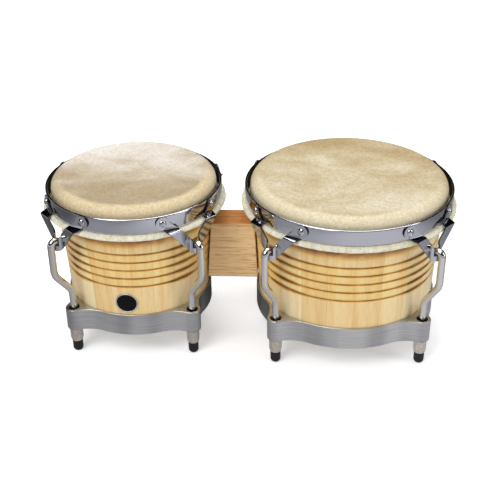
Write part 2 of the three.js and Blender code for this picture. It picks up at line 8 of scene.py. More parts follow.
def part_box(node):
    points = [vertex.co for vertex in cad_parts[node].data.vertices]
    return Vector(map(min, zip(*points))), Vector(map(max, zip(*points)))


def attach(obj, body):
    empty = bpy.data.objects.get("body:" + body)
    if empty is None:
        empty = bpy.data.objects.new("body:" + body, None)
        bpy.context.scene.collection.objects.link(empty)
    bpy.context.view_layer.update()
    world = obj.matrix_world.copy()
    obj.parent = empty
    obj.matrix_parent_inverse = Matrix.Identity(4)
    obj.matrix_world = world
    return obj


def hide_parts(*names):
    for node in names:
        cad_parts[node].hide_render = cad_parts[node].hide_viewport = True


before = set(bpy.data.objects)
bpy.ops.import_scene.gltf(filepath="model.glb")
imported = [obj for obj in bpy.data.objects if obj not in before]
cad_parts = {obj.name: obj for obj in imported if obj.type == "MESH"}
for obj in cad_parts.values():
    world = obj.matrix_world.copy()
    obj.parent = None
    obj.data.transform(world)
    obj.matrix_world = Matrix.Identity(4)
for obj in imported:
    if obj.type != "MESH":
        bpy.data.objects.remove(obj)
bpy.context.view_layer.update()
scene = bpy.context.scene
scene.view_settings.view_transform = "Standard"
print("frame loaded,", len(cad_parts), "nodes")

toMetres = 0.001
samePlace = 0.002  # points nearer than this are one
up = Vector((0, 0, 1))
sideways = Vector((0, 1, 0))
fullTurn = 2 * math.pi


# Small tools

def span(node):
    # low and high corner of a solid, in millimetres
    low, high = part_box(node)
    return low / toMetres, high / toMetres


def arc(x, z, wide, high, start, end, steps):
    # points of an oval stretch in a profile, angles in degrees
    turns = [math.radians(start + (end - start) * k / steps) for k in range(steps + 1)]
    return [(x + wide * math.cos(t), z + high * math.sin(t)) for t in turns]


def tidyMesh(bm):
    bmesh.ops.remove_doubles(bm, verts=bm.verts, dist=samePlace)
    bmesh.ops.recalc_face_normals(bm, faces=bm.faces)
    return bm


def turned(profile, steps, closed=True):
    # spins a profile of (radius, height) points round Z
    bm = bmesh.new()
    verts = [bm.verts.new((r, 0, z)) for r, z in profile]
    edges = [bm.edges.new(pair) for pair in zip(verts, verts[1:])]
    if closed:
        edges.append(bm.edges.new((verts[-1], verts[0])))
    bmesh.ops.spin(bm, geom=verts + edges, cent=(0, 0, 0), axis=up, angle=fullTurn, steps=steps,
                   use_merge=True)
    return tidyMesh(bm)


def roundBar(radius, low, high, steps):
    # an upright bar, to cut holes with
    return turned([(0, low), (radius, low), (radius, high), (0, high)], steps, closed=False)


def onlyVerts(geom):
    return [item for item in geom if isinstance(item, bmesh.types.BMVert)]


def extruded(bm, travel):
    # draws a flat outline out into a solid
    made = bmesh.ops.extrude_face_region(bm, geom=list(bm.faces))["geom"]
    bmesh.ops.translate(bm, vec=travel, verts=onlyVerts(made))
    bmesh.ops.recalc_face_normals(bm, faces=bm.faces)
    return bm


def rounded(bm, edges, offset, segments=3, clamp=False):
    # clamp keeps a round from running past its neighbours
    bmesh.ops.bevel(bm, geom=list(edges), offset=offset, segments=segments, profile=0.5, affect="EDGES",
                    material=-1, clamp_overlap=clamp)


def moved(bm, offset=(0, 0, 0), turn=0.0, axis="Z"):
    # turns by degrees about an axis through the origin, then moves
    bmesh.ops.rotate(bm, cent=(0, 0, 0), matrix=Matrix.Rotation(math.radians(turn), 3, axis), verts=bm.verts)
    bmesh.ops.translate(bm, vec=offset, verts=bm.verts)
    return bm


def joined(*parts):
    # several bmeshes as one
    whole = bmesh.new()
    for bm in parts:
        mesh = bpy.data.meshes.new("part")
        bm.to_mesh(mesh)
        bm.free()
        whole.from_mesh(mesh)
        bpy.data.meshes.remove(mesh)
    return whole


def asObject(bm, name):
    mesh = bpy.data.meshes.new(name)
    bm.to_mesh(mesh)
    bm.free()
    obj = bpy.data.objects.new(name, mesh)
    scene.collection.objects.link(obj)
    return obj


def worked(bm, *steps):
    # the shape after modifiers, each given as (kind, settings)
    obj = asObject(bm, "blank")
    for _ in range(2):  # two empty slots, so that Solidify may give its rim the second one
        obj.data.materials.append(None)
    helpers = []
    for kind, settings in steps:
        modifier = obj.modifiers.new(kind, kind)
        for key, value in settings.items():
            if isinstance(value, bmesh.types.BMesh):
                value = asObject(value, "cutter")
                helpers.append(value)
            setattr(modifier, key, value)
    result = bmesh.new()
    result.from_object(obj, bpy.context.evaluated_depsgraph_get())
    for helper in [obj, *helpers]:
        bpy.data.objects.remove(helper)
    return result


def combine(operation, other):
    # a step of worked that cuts or joins with another shape
    return "BOOLEAN", {"operation": operation, "solver": "EXACT", "object": other}


def piece(bm, name, material, body, nodes=(), slot=None, crease=32, even=False):
    # turns millimetres into metres and hands the piece to its body
    bmesh.ops.scale(bm, vec=(toMetres,) * 3, verts=bm.verts)
    obj = asObject(bm, name)
    obj.data.materials.append(material)
    obj.data.shade_smooth()
    obj.data.set_sharp_from_angle(angle=math.radians(crease))
    if even:
        modifier = obj.modifiers.new("WeightedNormal", "WEIGHTED_NORMAL")
        modifier.keep_sharp = True
    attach(obj, body)
    if nodes:
        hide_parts(*nodes)
    return obj


def srgb(text):
    channels = [int(text[k:k + 2], 16) / 255 for k in (1, 3, 5)]
    return tuple(c / 12.92 if c <= 0.04045 else ((c + 0.055) / 1.055) ** 2.4 for c in channels) + (1.0,)


def perMetre(size):
    # how often a pattern repeats in a metre, from its size in millimetres, one for all ways or one for each
    return tuple(map(perMetre, size)) if isinstance(size, tuple) else 1 / (size * toMetres)


def feed(node, inputs):
    # an input takes a value, a socket, or a node for the result that it gives
    for key, value in inputs.items():
        if isinstance(value, bpy.types.Node):
            value = next(socket for socket in value.outputs if socket.enabled)
        if isinstance(value, bpy.types.NodeSocket):
            node.id_data.links.new(value, node.inputs[key])
        else:
            node.inputs[key].default_value = value


def addNode(tree, kind, inputs=None, stops=(), **settings):
    # one node with its settings and links, and the colours of a ramp as (place, hex) pairs
    made = tree.nodes.new("ShaderNode" + kind)
    for key, value in settings.items():
        setattr(made, key, value)
    if stops:
        elements = made.color_ramp.elements
        while len(elements) < len(stops):
            elements.new(0.5)
        for element, (place, colour) in zip(elements, stops):
            element.position = place
            element.color = srgb(colour)
    feed(made, inputs or {})
    return made


def newMaterial(name):
    # the material, its tree, its shader, and the place on the object in metres
    material = bpy.data.materials.new(name)
    material.use_nodes = True
    tree = material.node_tree
    place = addNode(tree, "TexCoord").outputs["Object"]
    return material, tree, tree.nodes["Principled BSDF"], place


# Camera and stage

cameraPlace = {
    "location": (0.0420, -0.9743, 0.6586),
    "yaw": 2.43,
    "pitch": 29.97,
    "roll": -0.43,
    "focalPixels": 970.9,
    "imagePixels": 500,
    "sensorWidth": 36,  # millimetres
    "nearest": 0.01,
}


def makeCamera(place):
    data = bpy.data.cameras.new("camera")
    data.sensor_width = place["sensorWidth"]
    data.lens = place["focalPixels"] * data.sensor_width / place["imagePixels"]
    data.clip_start = place["nearest"]
    camera = bpy.data.objects.new("camera", data)
    scene.collection.objects.link(camera)
    camera.matrix_world = (
        Matrix.Translation(place["location"])
        @ Matrix.Rotation(math.radians(place["yaw"]), 4, "Z")
        @ Matrix.Rotation(math.radians(90 - place["pitch"]), 4, "X")
        @ Matrix.Rotation(math.radians(place["roll"]), 4, "Z")
    )
    scene.camera = camera


studio = {
    "floorSize": 16.0,
    "floorColour": "#F4F4F4",
    "floorLift": 0.42,  # keeps the paper white and its shadow soft
    "mirroredFloor": 0.34,  # how bright the metal mirrors the paper, and where it differs
    "mirroredColour": "#F6F5FA",
    "pools": [  # centre, full within, gone beyond, how much brighter: painted pools of light, and below zero painted shade
        ((0.26, -0.40), 0.14, 0.56, 0.50),
        ((-0.30, -0.30), 0.05, 0.34, 0.14),
        ((-0.14, -0.14), 0.04, 0.14, 0.14),
        ((-0.01, 0.08), 0.05, 0.16, -0.30),
        ((-0.62, -0.02), 0.08, 0.32, -0.20),
        ((0.72, 0.15), 0.10, 0.40, -0.12),
        ((0.0, 0.80), 0.10, 0.55, -0.24),
    ],
    # radius and height: hung round the table, with its edge overhead
    "cloth": [(3.0, 0.45), (3.0, 3.4), (2.2, 3.4)],
    "clothColour": "#141416",
    "worldFill": 0.34,
    "worldColour": "#F2F4F8",
    "lamps": [  # name, place, what it looks at, width, height, watts
        ("keyLamp", (-0.9, -1.3, 1.9), (0, 0, 0.12), 1.2, 1.2, 29),
        ("topLamp", (0.15, 0.75, 2.1), (0, 0, 0.12), 1.8, 1.0, 26),
        ("sideLamp", (1.8, -0.7, 1.0), (0.05, 0, 0.1), 0.5, 1.3, 9),
    ],
}


def makeFloor(plan):
    # matt paper: white to the camera round the object's shadow, and painted pools of light and shade in what
    # the metal mirrors
    bm = bmesh.new()
    bmesh.ops.create_grid(bm, x_segments=1, y_segments=1, size=plan["floorSize"] / 2)
    floor = asObject(bm, "floor")
    material, tree, shader, place = newMaterial("paperSweep")
    path = addNode(tree, "LightPath")
    lift = addNode(tree, "Math", {0: path.outputs["Is Camera Ray"], 1: plan["floorLift"]},
                   operation="MULTIPLY")
    feed(shader, {"Base Color": srgb(plan["floorColour"]), "Roughness": 0.9, "Specular IOR Level": 0.0,
                  "Emission Color": srgb("#FFFFFF"), "Emission Strength": lift})
    total = plan["mirroredFloor"]
    for centre, near, gone, brighter in plan["pools"]:
        centred = addNode(tree, "Mapping", {"Vector": place, "Location": (-centre[0], -centre[1], 0)})
        away = addNode(tree, "VectorMath", {0: centred}, operation="LENGTH")
        glow = addNode(tree, "MapRange", {"Value": away, "From Min": near, "From Max": gone,
                                          "To Min": brighter, "To Max": 0.0}, interpolation_type="SMOOTHSTEP")
        total = addNode(tree, "Math", {0: total, 1: glow}, operation="ADD")
    mirrored = addNode(tree, "Emission", {"Color": srgb(plan["mirroredColour"]), "Strength": total})
    mix = addNode(tree, "MixShader", {0: path.outputs["Is Glossy Ray"], 1: shader, 2: mirrored})
    feed(tree.nodes["Material Output"], {"Surface": mix})
    floor.data.materials.append(material)


def makeCloth(plan):
    # seen only by reflections: it draws the dark lines in polished metal
    cloth = asObject(turned(plan["cloth"], 48, closed=False), "blackCloth")
    material, _, shader, _ = newMaterial("blackCloth")
    feed(shader, {"Base Color": srgb(plan["clothColour"]), "Roughness": 1.0, "Specular IOR Level": 0.0})
    cloth.data.materials.append(material)
    for ray in ("camera", "diffuse", "transmission", "shadow"):
        setattr(cloth, "visible_" + ray, False)


def makeStudio(plan):
    world = bpy.data.worlds.new("studioWorld")
    world.use_nodes = True
    scene.world = world
    tree = world.node_tree
    tree.nodes.clear()
    path = addNode(tree, "LightPath")
    direct = addNode(tree, "Math", {0: path.outputs["Is Camera Ray"], 1: path.outputs["Is Glossy Ray"]},
                     operation="MAXIMUM")
    seen = addNode(tree, "Math", {0: direct, 1: path.outputs["Is Transmission Ray"]}, operation="MAXIMUM")
    fill = addNode(tree, "Background", {"Color": srgb(plan["worldColour"]), "Strength": plan["worldFill"]})
    white = addNode(tree, "Background", {"Color": srgb("#FFFFFF"), "Strength": 1.0})
    mix = addNode(tree, "MixShader", {0: seen, 1: fill, 2: white})
    addNode(tree, "OutputWorld", {"Surface": mix})
    makeFloor(plan)
    makeCloth(plan)
    for name, place, target, width, height, power in plan["lamps"]:
        data = bpy.data.lights.new(name, "AREA")
        data.shape = "RECTANGLE"
        data.size, data.size_y, data.energy = width, height, power
        lamp = bpy.data.objects.new(name, data)
        scene.collection.objects.link(lamp)
        lamp.location = place
        lamp.rotation_euler = (Vector(target) - Vector(place)).to_track_quat("-Z", "Y").to_euler()


makeCamera(cameraPlace)
makeStudio(studio)
print("camera and studio")


# Materials

# settings of a Mix of two colours, which takes its share in input 0 and its colours in 6 and 7
colourMix = {"data_type": "RGBA"}
multiply = {"data_type": "RGBA", "blend_type": "MULTIPLY"}


def staveWood(label, centre, look):
    # Rubberwood staves glued edge to edge, turned and lacquered: honey tones that change from stave to stave,
    # fine upright pores, grooves scorched brown, a painted shadow of the claws and rods beside them, and a
    # painted shade below the rolled hide
    material, tree, shader, place = newMaterial("lacqueredStaves" + label.capitalize())
    middle = addNode(tree, "Mapping", {"Vector": place, "Location": (-centre, 0, 0)})
    axes = addNode(tree, "SeparateXYZ", {0: middle})
    bearing = addNode(tree, "Math", {0: axes.outputs[1], 1: axes.outputs[0]}, operation="ARCTAN2")
    run = addNode(tree, "Math", {0: bearing, 1: look["staves"] / fullTurn, 2: look["staveShift"]},
                  operation="MULTIPLY_ADD")
    number = addNode(tree, "Math", {0: run}, operation="FLOOR")
    rest = addNode(tree, "Math", {0: run}, operation="FRACT")
    fromSeam = addNode(tree, "Math", {0: rest, 1: 0.5}, operation="PINGPONG")
    tone = addNode(tree, "TexWhiteNoise", {"W": number}, noise_dimensions="1D")
    colour = addNode(tree, "ValToRGB", {0: tone}, look["tones"][label])
    seam = addNode(tree, "MapRange", {"Value": fromSeam, "From Min": 0.0, "From Max": look["seamShare"],
                                      "To Min": look["seamWeight"], "To Max": 0.0})
    # each stave is cut from another place in the plank
    shift = addNode(tree, "CombineXYZ", {2: number})
    perStave = addNode(tree, "VectorMath", {0: middle, 1: shift}, operation="ADD")
    fine = addNode(tree, "Mapping", {"Vector": perStave, "Scale": perMetre(look["poreSize"])})
    pores = addNode(tree, "TexNoise", {"Vector": fine, "Scale": 1.0, "Detail": 2.0, "Roughness": 0.6})
    poreTone = addNode(tree, "ValToRGB", {0: pores}, [(0.30, look["pore"]), (0.50, "#FFFFFF")])
    broad = addNode(tree, "Mapping", {"Vector": perStave, "Scale": perMetre(look["figureSize"])})
    figure = addNode(tree, "TexNoise", {"Vector": broad, "Scale": 1.0, "Detail": 3.0, "Roughness": 0.55,
                                        "Distortion": 0.3})
    figureTone = addNode(tree, "ValToRGB", {0: figure}, [(0.32, look["figure"]), (0.56, "#FFFFFF")])
    withFigure = addNode(tree, "Mix", {0: look["figureWeight"], 6: colour, 7: figureTone}, **multiply)
    withPores = addNode(tree, "Mix", {0: look["poreWeight"], 6: withFigure, 7: poreTone}, **multiply)
    withSeam = addNode(tree, "Mix", {0: seam, 6: withPores, 7: srgb(look["seam"])}, **colourMix)
    # scorch: strong in the groove, fading over the wood beside it, uneven round the drum; the same attribute
    # brings the painted shadow of the claws and rods and the painted shade below the rolled hide
    patchy = addNode(tree, "Mapping", {"Vector": middle, "Scale": perMetre(look["flameSize"])})
    flame = addNode(tree, "TexNoise", {"Vector": patchy, "Scale": 1.0, "Detail": 3.0})
    heat = addNode(tree, "MapRange", {"Value": flame, "From Min": 0.3, "From Max": 0.7,
                                      "To Min": look["flameLow"], "To Max": look["flameHigh"]})
    scorchAndShade = addNode(tree, "Attribute", attribute_name="scorchAndShade")
    scorchedAndShaded = addNode(tree, "Math", {0: scorchAndShade.outputs["Fac"], 1: heat}, operation="MULTIPLY")
    scorchAndShadeTone = addNode(tree, "ValToRGB", {0: scorchedAndShaded}, look["scorchAndShadeTones"])
    final = addNode(tree, "Mix", {0: 1.0, 6: withSeam, 7: scorchAndShadeTone}, **multiply)
    bump = addNode(tree, "Bump", {"Height": pores, "Strength": 0.10, "Distance": 0.3 * toMetres})
    feed(shader, {"Base Color": final, "Normal": bump, "Roughness": 0.42, "Coat Weight": 0.7,
                  "Coat Roughness": 0.14})
    return material


staveLook = {
    "staves": 22,
    "staveShift": 0.35,
    "tones": {
        "small": [(0.0, "#FEE7B6"), (0.35, "#FCDFA4"), (0.7, "#F0CF92"), (1.0, "#FFEFC4")],
        "large": [(0.0, "#FFECBC"), (0.35, "#FCDFA3"), (0.7, "#F0CF90"), (1.0, "#FFF4CE")],
    },
    "seam": "#9A7138",
    "seamShare": 0.025,  # of a stave's width
    "seamWeight": 0.22,
    "pore": "#E6C88E",
    "poreSize": (0.77, 0.77, 25),  # real ones are 0.2 mm wide, drawn wider so that they show
    "poreWeight": 0.35,
    "figure": "#EED19A",
    "figureSize": (8.33, 8.33, 167),
    "figureWeight": 0.45,
    "flameSize": (16.7, 16.7, 11.1),
    "flameLow": 0.72,
    "flameHigh": 1.18,
    # the scorch's tones, which also colour the painted shade and the painted shadow
    "scorchAndShadeTones": [(0.0, "#FFFFFF"), (0.14, "#FFFDE2"), (0.3, "#F2DCA6"), (0.52, "#D0A65E"), (0.78, "#8E641E"),
               (1.0, "#543A0C")],
}


def blockWood(middleHeight, halfHeight, look):
    # Planed rubberwood, lacquered: straight grain along the block with short darker streaks
    material, tree, shader, place = newMaterial("lacqueredBlockWood")
    long = addNode(tree, "Mapping", {"Vector": place, "Scale": perMetre(look["streakSize"])})
    streaks = addNode(tree, "TexNoise", {"Vector": long, "Scale": 1.0, "Detail": 3.0, "Roughness": 0.6,
                                         "Distortion": 0.25})
    dark = addNode(tree, "ValToRGB", {0: streaks}, [(0.34, look["streak"]), (0.5, "#FFFFFF")])
    wide = addNode(tree, "Mapping", {"Vector": place, "Scale": perMetre(look["ringSize"])})
    rings = addNode(tree, "TexNoise", {"Vector": wide, "Scale": 1.0, "Detail": 3.0, "Roughness": 0.5,
                                       "Distortion": 0.8})
    base = addNode(tree, "ValToRGB", {0: rings}, look["tones"])
    short = addNode(tree, "Mapping", {"Vector": place, "Scale": perMetre(look["dashSize"])})
    dashes = addNode(tree, "TexNoise", {"Vector": short, "Scale": 1.0, "Detail": 1.0})
    dashTone = addNode(tree, "ValToRGB", {0: dashes}, [(0.62, "#FFFFFF"), (0.72, look["dash"])])
    streaked = addNode(tree, "Mix", {0: look["streakWeight"], 6: base, 7: dark}, **multiply)
    dashed = addNode(tree, "Mix", {0: look["dashWeight"], 6: streaked, 7: dashTone}, **multiply)
    # the top and the underside are browner than the sides
    axes = addNode(tree, "SeparateXYZ", {0: place})
    fromMiddle = addNode(tree, "Math", {0: axes.outputs[2], 1: middleHeight}, operation="SUBTRACT")
    outwards = addNode(tree, "Math", {0: fromMiddle}, operation="ABSOLUTE")
    start, full = (halfHeight - look[key] * toMetres for key in ("faceStart", "faceFull"))
    face = addNode(tree, "MapRange", {"Value": outwards, "From Min": start, "From Max": full})
    faced = addNode(tree, "Mix", {0: face, 6: dashed, 7: srgb(look["topAndUnderTone"])}, **multiply)
    bump = addNode(tree, "Bump", {"Height": streaks, "Strength": 0.12, "Distance": 0.3 * toMetres})
    feed(shader, {"Base Color": faced, "Normal": bump, "Roughness": 0.45, "Coat Weight": 0.3,
                  "Coat Roughness": 0.25})
    return material


blockLook = {
    "tones": [(0.30, "#F0C588"), (0.5, "#F9D399"), (0.72, "#FEE0AC")],
    "ringSize": (111, 11.1, 11.1),
    "streak": "#C79A62",
    "streakSize": (45.5, 2.38, 2.38),
    "streakWeight": 0.6,
    "dash": "#A97A45",  # short dark pores along the grain, drawn wider than real ones so that they show
    "dashSize": (14.3, 1.43, 1.43),
    "dashWeight": 0.5,
    "topAndUnderTone": "#DDB484",
    "faceStart": 1.2,  # how far from the top and the underside their tone starts, and where it is full
    "faceFull": 0.2,
}


def rawhide(label, centre, radius, look):
    # Scraped cowhide stretched wet over the shell and dried: matt, cloudy, with fine grain and short fibre
    # marks, and a paler, warmer band painted over the front of the shoulder, as light falling on it
    material, tree, shader, place = newMaterial("rawhide" + label.capitalize())
    middle = addNode(tree, "Mapping", {"Vector": place, "Location": (-centre, 0, 0)})
    cloudPlace = addNode(tree, "Mapping", {"Vector": middle, "Location": look["cloudShift"],
                                           "Scale": perMetre(look["cloudSize"])})
    clouds = addNode(tree, "TexNoise", {"Vector": cloudPlace, "Scale": 1.0, "Detail": 3.0, "Roughness": 0.5,
                                        "Distortion": 0.4})
    lean = addNode(tree, "VectorMath", {0: middle, 1: look["palerTowards"]}, operation="DOT_PRODUCT")
    tilted = addNode(tree, "Math", {0: clouds, 1: lean}, operation="ADD")
    base = addNode(tree, "ValToRGB", {0: tilted}, look["tones"])
    mottle = addNode(tree, "TexNoise", {"Vector": middle, "Scale": perMetre(look["mottleSize"]),
                                        "Detail": 4.0, "Roughness": 0.7})
    spots = addNode(tree, "ValToRGB", {0: mottle}, [(0.36, look["spot"]), (0.60, "#FFFFFF")])
    spotted = addNode(tree, "Mix", {0: look["spotWeight"], 6: base, 7: spots}, **multiply)
    along = addNode(tree, "Mapping", {"Vector": middle, "Rotation": (0, 0, look["fibreTurn"]),
                                      "Scale": perMetre(look["fibreSize"])})
    fibres = addNode(tree, "TexNoise", {"Vector": along, "Scale": 1.0, "Detail": 3.0, "Roughness": 0.65,
                                        "Distortion": 0.5})
    fibreTone = addNode(tree, "ValToRGB", {0: fibres}, [(0.34, look["fibre"]), (0.54, "#FFFFFF")])
    # the shoulder's band has a ragged inner edge and is painted only on the front side, as light falling
    # there
    flat = addNode(tree, "Mapping", {"Vector": middle, "Scale": (1, 1, 0)})
    outwards = addNode(tree, "VectorMath", {0: flat}, operation="LENGTH")
    ragged = addNode(tree, "Math", {0: clouds, 1: look["raggedness"] * toMetres, 2: outwards},
                     operation="MULTIPLY_ADD")
    start, full = (radius - look[key] * toMetres for key in ("shoulderStart", "shoulderFull"))
    edge = addNode(tree, "MapRange", {"Value": ragged, "From Min": start, "From Max": full},
                   interpolation_type="SMOOTHSTEP")
    facing = addNode(tree, "VectorMath", {0: middle, 1: look["litShoulderSide"]}, operation="DOT_PRODUCT")
    side = addNode(tree, "MapRange", {"Value": facing, "From Min": -0.2, "From Max": 0.6},
                   interpolation_type="SMOOTHSTEP")
    litShoulder = addNode(tree, "Math", {0: edge, 1: side}, operation="MULTIPLY")
    shoulderTone = addNode(tree, "ValToRGB", {0: mottle}, look["shoulder"])
    shoulder = addNode(tree, "Mix", {0: litShoulder, 6: spotted, 7: shoulderTone}, **colourMix)
    marked = addNode(tree, "Mix", {0: look["fibreWeight"], 6: shoulder, 7: fibreTone}, **multiply)
    relief = addNode(tree, "Math", {0: mottle, 1: fibres}, operation="ADD")
    bump = addNode(tree, "Bump", {"Height": relief, "Strength": 0.2, "Distance": 0.3 * toMetres})
    feed(shader, {"Base Color": marked, "Normal": bump, "Roughness": 0.6, "Specular IOR Level": 0.35})
    return material


hideGrain = {
    "mottleSize": 3.33,  # real grain and fibres are finer, drawn coarse so that they show
    "fibreSize": (2.78, 1.61, 1.61),
    "spotWeight": 0.5,
    "fibreWeight": 0.4,
    "raggedness": 8,
    "shoulderStart": 10.5,  # in from the edge of the head, before the clouds make it ragged
    "shoulderFull": 3.5,
}
hideLook = {
    "small": {
        "cloudShift": (0.31, 0.12, 0.0),  # counted in clouds
        "cloudSize": (91, 52.6, 66.7),
        "palerTowards": (-0.7, 3.2, 0.0),  # share per metre, as the next
        # which side of the shoulder is painted lit
        "litShoulderSide": (3.0, -10.0, 0.0),
        "fibreTurn": 0.2,
        "tones": [(0.30, "#B3A283"), (0.40, "#BDAD92"), (0.48, "#C8BAA3"), (0.57, "#D9CFBF"),
                  (0.67, "#E6DED4"), (0.78, "#EEEAE3")],
        "spot": "#DBD0BD",
        "fibre": "#D6CAB5",
        "shoulder": [(0.35, "#D2BC92"), (0.65, "#E3D2AF")],
    },
    "large": {
        "cloudShift": (0.05, 0.43, 0.0),
        "cloudSize": (76.9, 47.6, 58.8),
        "palerTowards": (0.2, -0.8, 0.0),
        "litShoulderSide": (-1.0, -9.0, 0.0),
        "fibreTurn": -0.3,
        "tones": [(0.32, "#B9A47C"), (0.43, "#C5B490"), (0.54, "#D0C2A1"), (0.68, "#DFD5BE")],
        "spot": "#D8C7A2",
        "fibre": "#D6C49E",
        "shoulder": [(0.35, "#D9CAA6"), (0.65, "#EADFC4")],
    },
}


def rolledHide(look):
    # The same hide, rolled wet round its hoop and trimmed: paler, furry and uneven
    material, tree, shader, place = newMaterial("rolledRawhide")
    coarse = addNode(tree, "TexNoise", {"Vector": place, "Scale": perMetre(look["patchSize"]),
                                        "Detail": 4.0, "Roughness": 0.65})
    fine = addNode(tree, "TexNoise", {"Vector": place, "Scale": perMetre(look["furSize"]), "Detail": 3.0,
                                      "Roughness": 0.7})
    tone = addNode(tree, "ValToRGB", {0: coarse}, look["tones"])
    fuzz = addNode(tree, "ValToRGB", {0: fine}, [(0.36, look["fur"]), (0.55, "#FFFFFF")])
    both = addNode(tree, "Mix", {0: 0.5, 6: tone, 7: fuzz}, **multiply)
    bump = addNode(tree, "Bump", {"Height": fine, "Strength": 0.5, "Distance": 0.6 * toMetres})
    feed(shader, {"Base Color": both, "Normal": bump, "Roughness": 0.85})
    return material


rollLook = {
    "tones": [(0.32, "#DFD8B8"), (0.5, "#F0EBD2"), (0.66, "#FAF8E8")],
    "patchSize": 6.25,
    "fur": "#C4BA9C",
    "furSize": 1.11,  # real hairs are finer, drawn coarse so that they show
}


def castAluminium(look):
    # Sand-cast aluminium, linished along its length and left satin: fine level scratches, and paler and
    # darker upright bands painted as the highlights that the bosses and the ring catch
    material, tree, shader, place = newMaterial("brushedCastAluminium")
    level = addNode(tree, "Mapping", {"Vector": place, "Scale": perMetre(look["scratchSize"])})
    scratches = addNode(tree, "TexNoise", {"Vector": level, "Scale": 1.0, "Detail": 3.0, "Roughness": 0.6})
    streak = addNode(tree, "ValToRGB", {0: scratches}, look["tones"])
    # painted highlights: upright bands, paler and darker
    upright = addNode(tree, "Mapping", {"Vector": place, "Scale": perMetre(look["highlightBandSize"])})
    highlightBands = addNode(tree, "TexNoise", {"Vector": upright, "Scale": 1.0, "Detail": 1.0})
    highlightBandTone = addNode(tree, "ValToRGB", {0: highlightBands}, [(0.38, look["highlightBand"]), (0.60, "#FFFFFF")])
    scratchesAndHighlights = addNode(tree, "Mix", {0: 1.0, 6: streak, 7: highlightBandTone}, **multiply)
    rough = addNode(tree, "MapRange", {"Value": scratches, "From Min": 0.3, "From Max": 0.7, "To Min": 0.30,
                                       "To Max": 0.42})
    bump = addNode(tree, "Bump", {"Height": scratches, "Strength": 0.10, "Distance": 0.2 * toMetres})
    feed(shader, {"Base Color": scratchesAndHighlights, "Roughness": rough, "Normal": bump, "Metallic": 1.0})
    return material


castLook = {
    "tones": [(0.35, "#C0C0C0"), (0.62, "#D8D8D7")],
    "scratchSize": (33.3, 33.3, 0.625),  # real scratches are finer, drawn coarse so that they show
    "highlightBand": "#DEDEDF",  # the upright bands: painted highlights
    "highlightBandSize": (29.4, 29.4, 250),
}


def platedMetal(name, colour, grain, detail, low, high):
    # one colour, and a roughness that follows a grain of the given size
    material, tree, shader, place = newMaterial(name)
    stretched = addNode(tree, "Mapping", {"Vector": place, "Scale": perMetre(grain)})
    haze = addNode(tree, "TexNoise", {"Vector": stretched, "Scale": 1.0, "Detail": detail})
    rough = addNode(tree, "MapRange", {"Value": haze, "From Min": 0.3, "From Max": 0.7, "To Min": low,
                                       "To Max": high})
    feed(shader, {"Base Color": srgb(colour), "Roughness": rough, "Metallic": 1.0})
    return material


def grainedMetal(name, colour, grain, low, high):
    # small metal parts: one colour with a crystalline bloom of the given size, which the roughness follows
    material, tree, shader, place = newMaterial(name)
    bloom = addNode(tree, "TexNoise", {"Vector": place, "Scale": perMetre(grain), "Detail": 3.0})
    tone = addNode(tree, "ValToRGB", {0: bloom}, [(0.3, "#D8D4CC"), (0.7, "#FFFFFF")])
    both = addNode(tree, "Mix", {0: 1.0, 6: srgb(colour), 7: tone}, **multiply)
    rough = addNode(tree, "MapRange", {"Value": bloom, "From Min": 0.3, "From Max": 0.7, "To Min": low,
                                       "To Max": high})
    feed(shader, {"Base Color": both, "Roughness": rough, "Metallic": 1.0})
    return material


def rippledBlack(name, low, high, grain, detail, strength, depth, finish):
    # black parts: two near tones and a shallow ripple of the given size
    material, tree, shader, place = newMaterial(name)
    ripple = addNode(tree, "TexNoise", {"Vector": place, "Scale": perMetre(grain), "Detail": detail})
    tone = addNode(tree, "ValToRGB", {0: ripple}, [(0.3, low), (0.7, high)])
    bump = addNode(tree, "Bump", {"Height": ripple, "Strength": strength, "Distance": depth * toMetres})
    feed(shader, {"Base Color": tone, "Normal": bump, **finish})
    return material


rollMaterial = rolledHide(rollLook)
aluminium = castAluminium(castLook)
# Chrome over polished steel: a mirror with a faint haze of handling marks
chrome = platedMetal("chromePlate", "#C2C3CA", (22.2, 22.2, 22.2), 3.0, 0.05, 0.09)
# Drawn steel rod, plated over its drawing marks: softer than the rim, with faint lines along it, drawn
# wider than the real ones so that they show
rodSteel = platedMetal("platedRodSteel", "#DAD8D4", (1.11, 1.11, 25), 2.0, 0.12, 0.22)
# Zinc plated in a barrel: the nuts are warm, dull and cloudy, the bolts brighter and more even. The grain of
# these and of the small parts below is coarser than the real one, so that it shows
nutZinc = grainedMetal("dullZincPlate", "#EFE8DD", 2.38, 0.30, 0.48)
boltSteel = grainedMetal("brightZincPlate", "#A9ABAE", 2.0, 0.26, 0.40)
# Brass turned from bar: yellow, with a satin of fine tool marks
insertBrass = grainedMetal("turnedBrass", "#B4964F", 1.11, 0.28, 0.42)
# Rolled steel bar left bare: mid grey and dull
hoopSteel = grainedMetal("bareHoopSteel", "#8E8C88", 3.85, 0.35, 0.50)
# Polished brass blank's nickelled edge: a soft, nearly white line round the black
badgeRim = grainedMetal("polishedBadgeRim", "#F4F4F6", 1.43, 0.34, 0.44)
# Steel inside the rims, drawn dark and dull: painted shade, the dark of the narrow gap beside the hide
shadedInnerSteel = grainedMetal("paintedShadeInnerSteel", "#3C3B3A", 2.86, 0.40, 0.55)
# Thin sides of the claws' straps drawn dark: painted shade, the contact shadow that outlines them beside the
# bright faces
shadedEdgeSteel = grainedMetal("paintedShadeEdgeSteel", "#4A4A4D", 1.67, 0.30, 0.42)
# Moulded black rubber: nearly black, with a dull broken shine
rubber = rippledBlack("mouldedRubber", "#0C0C0E", "#17171A", 1.43, 2.0, 0.2, 0.3, {"Roughness": 0.55})
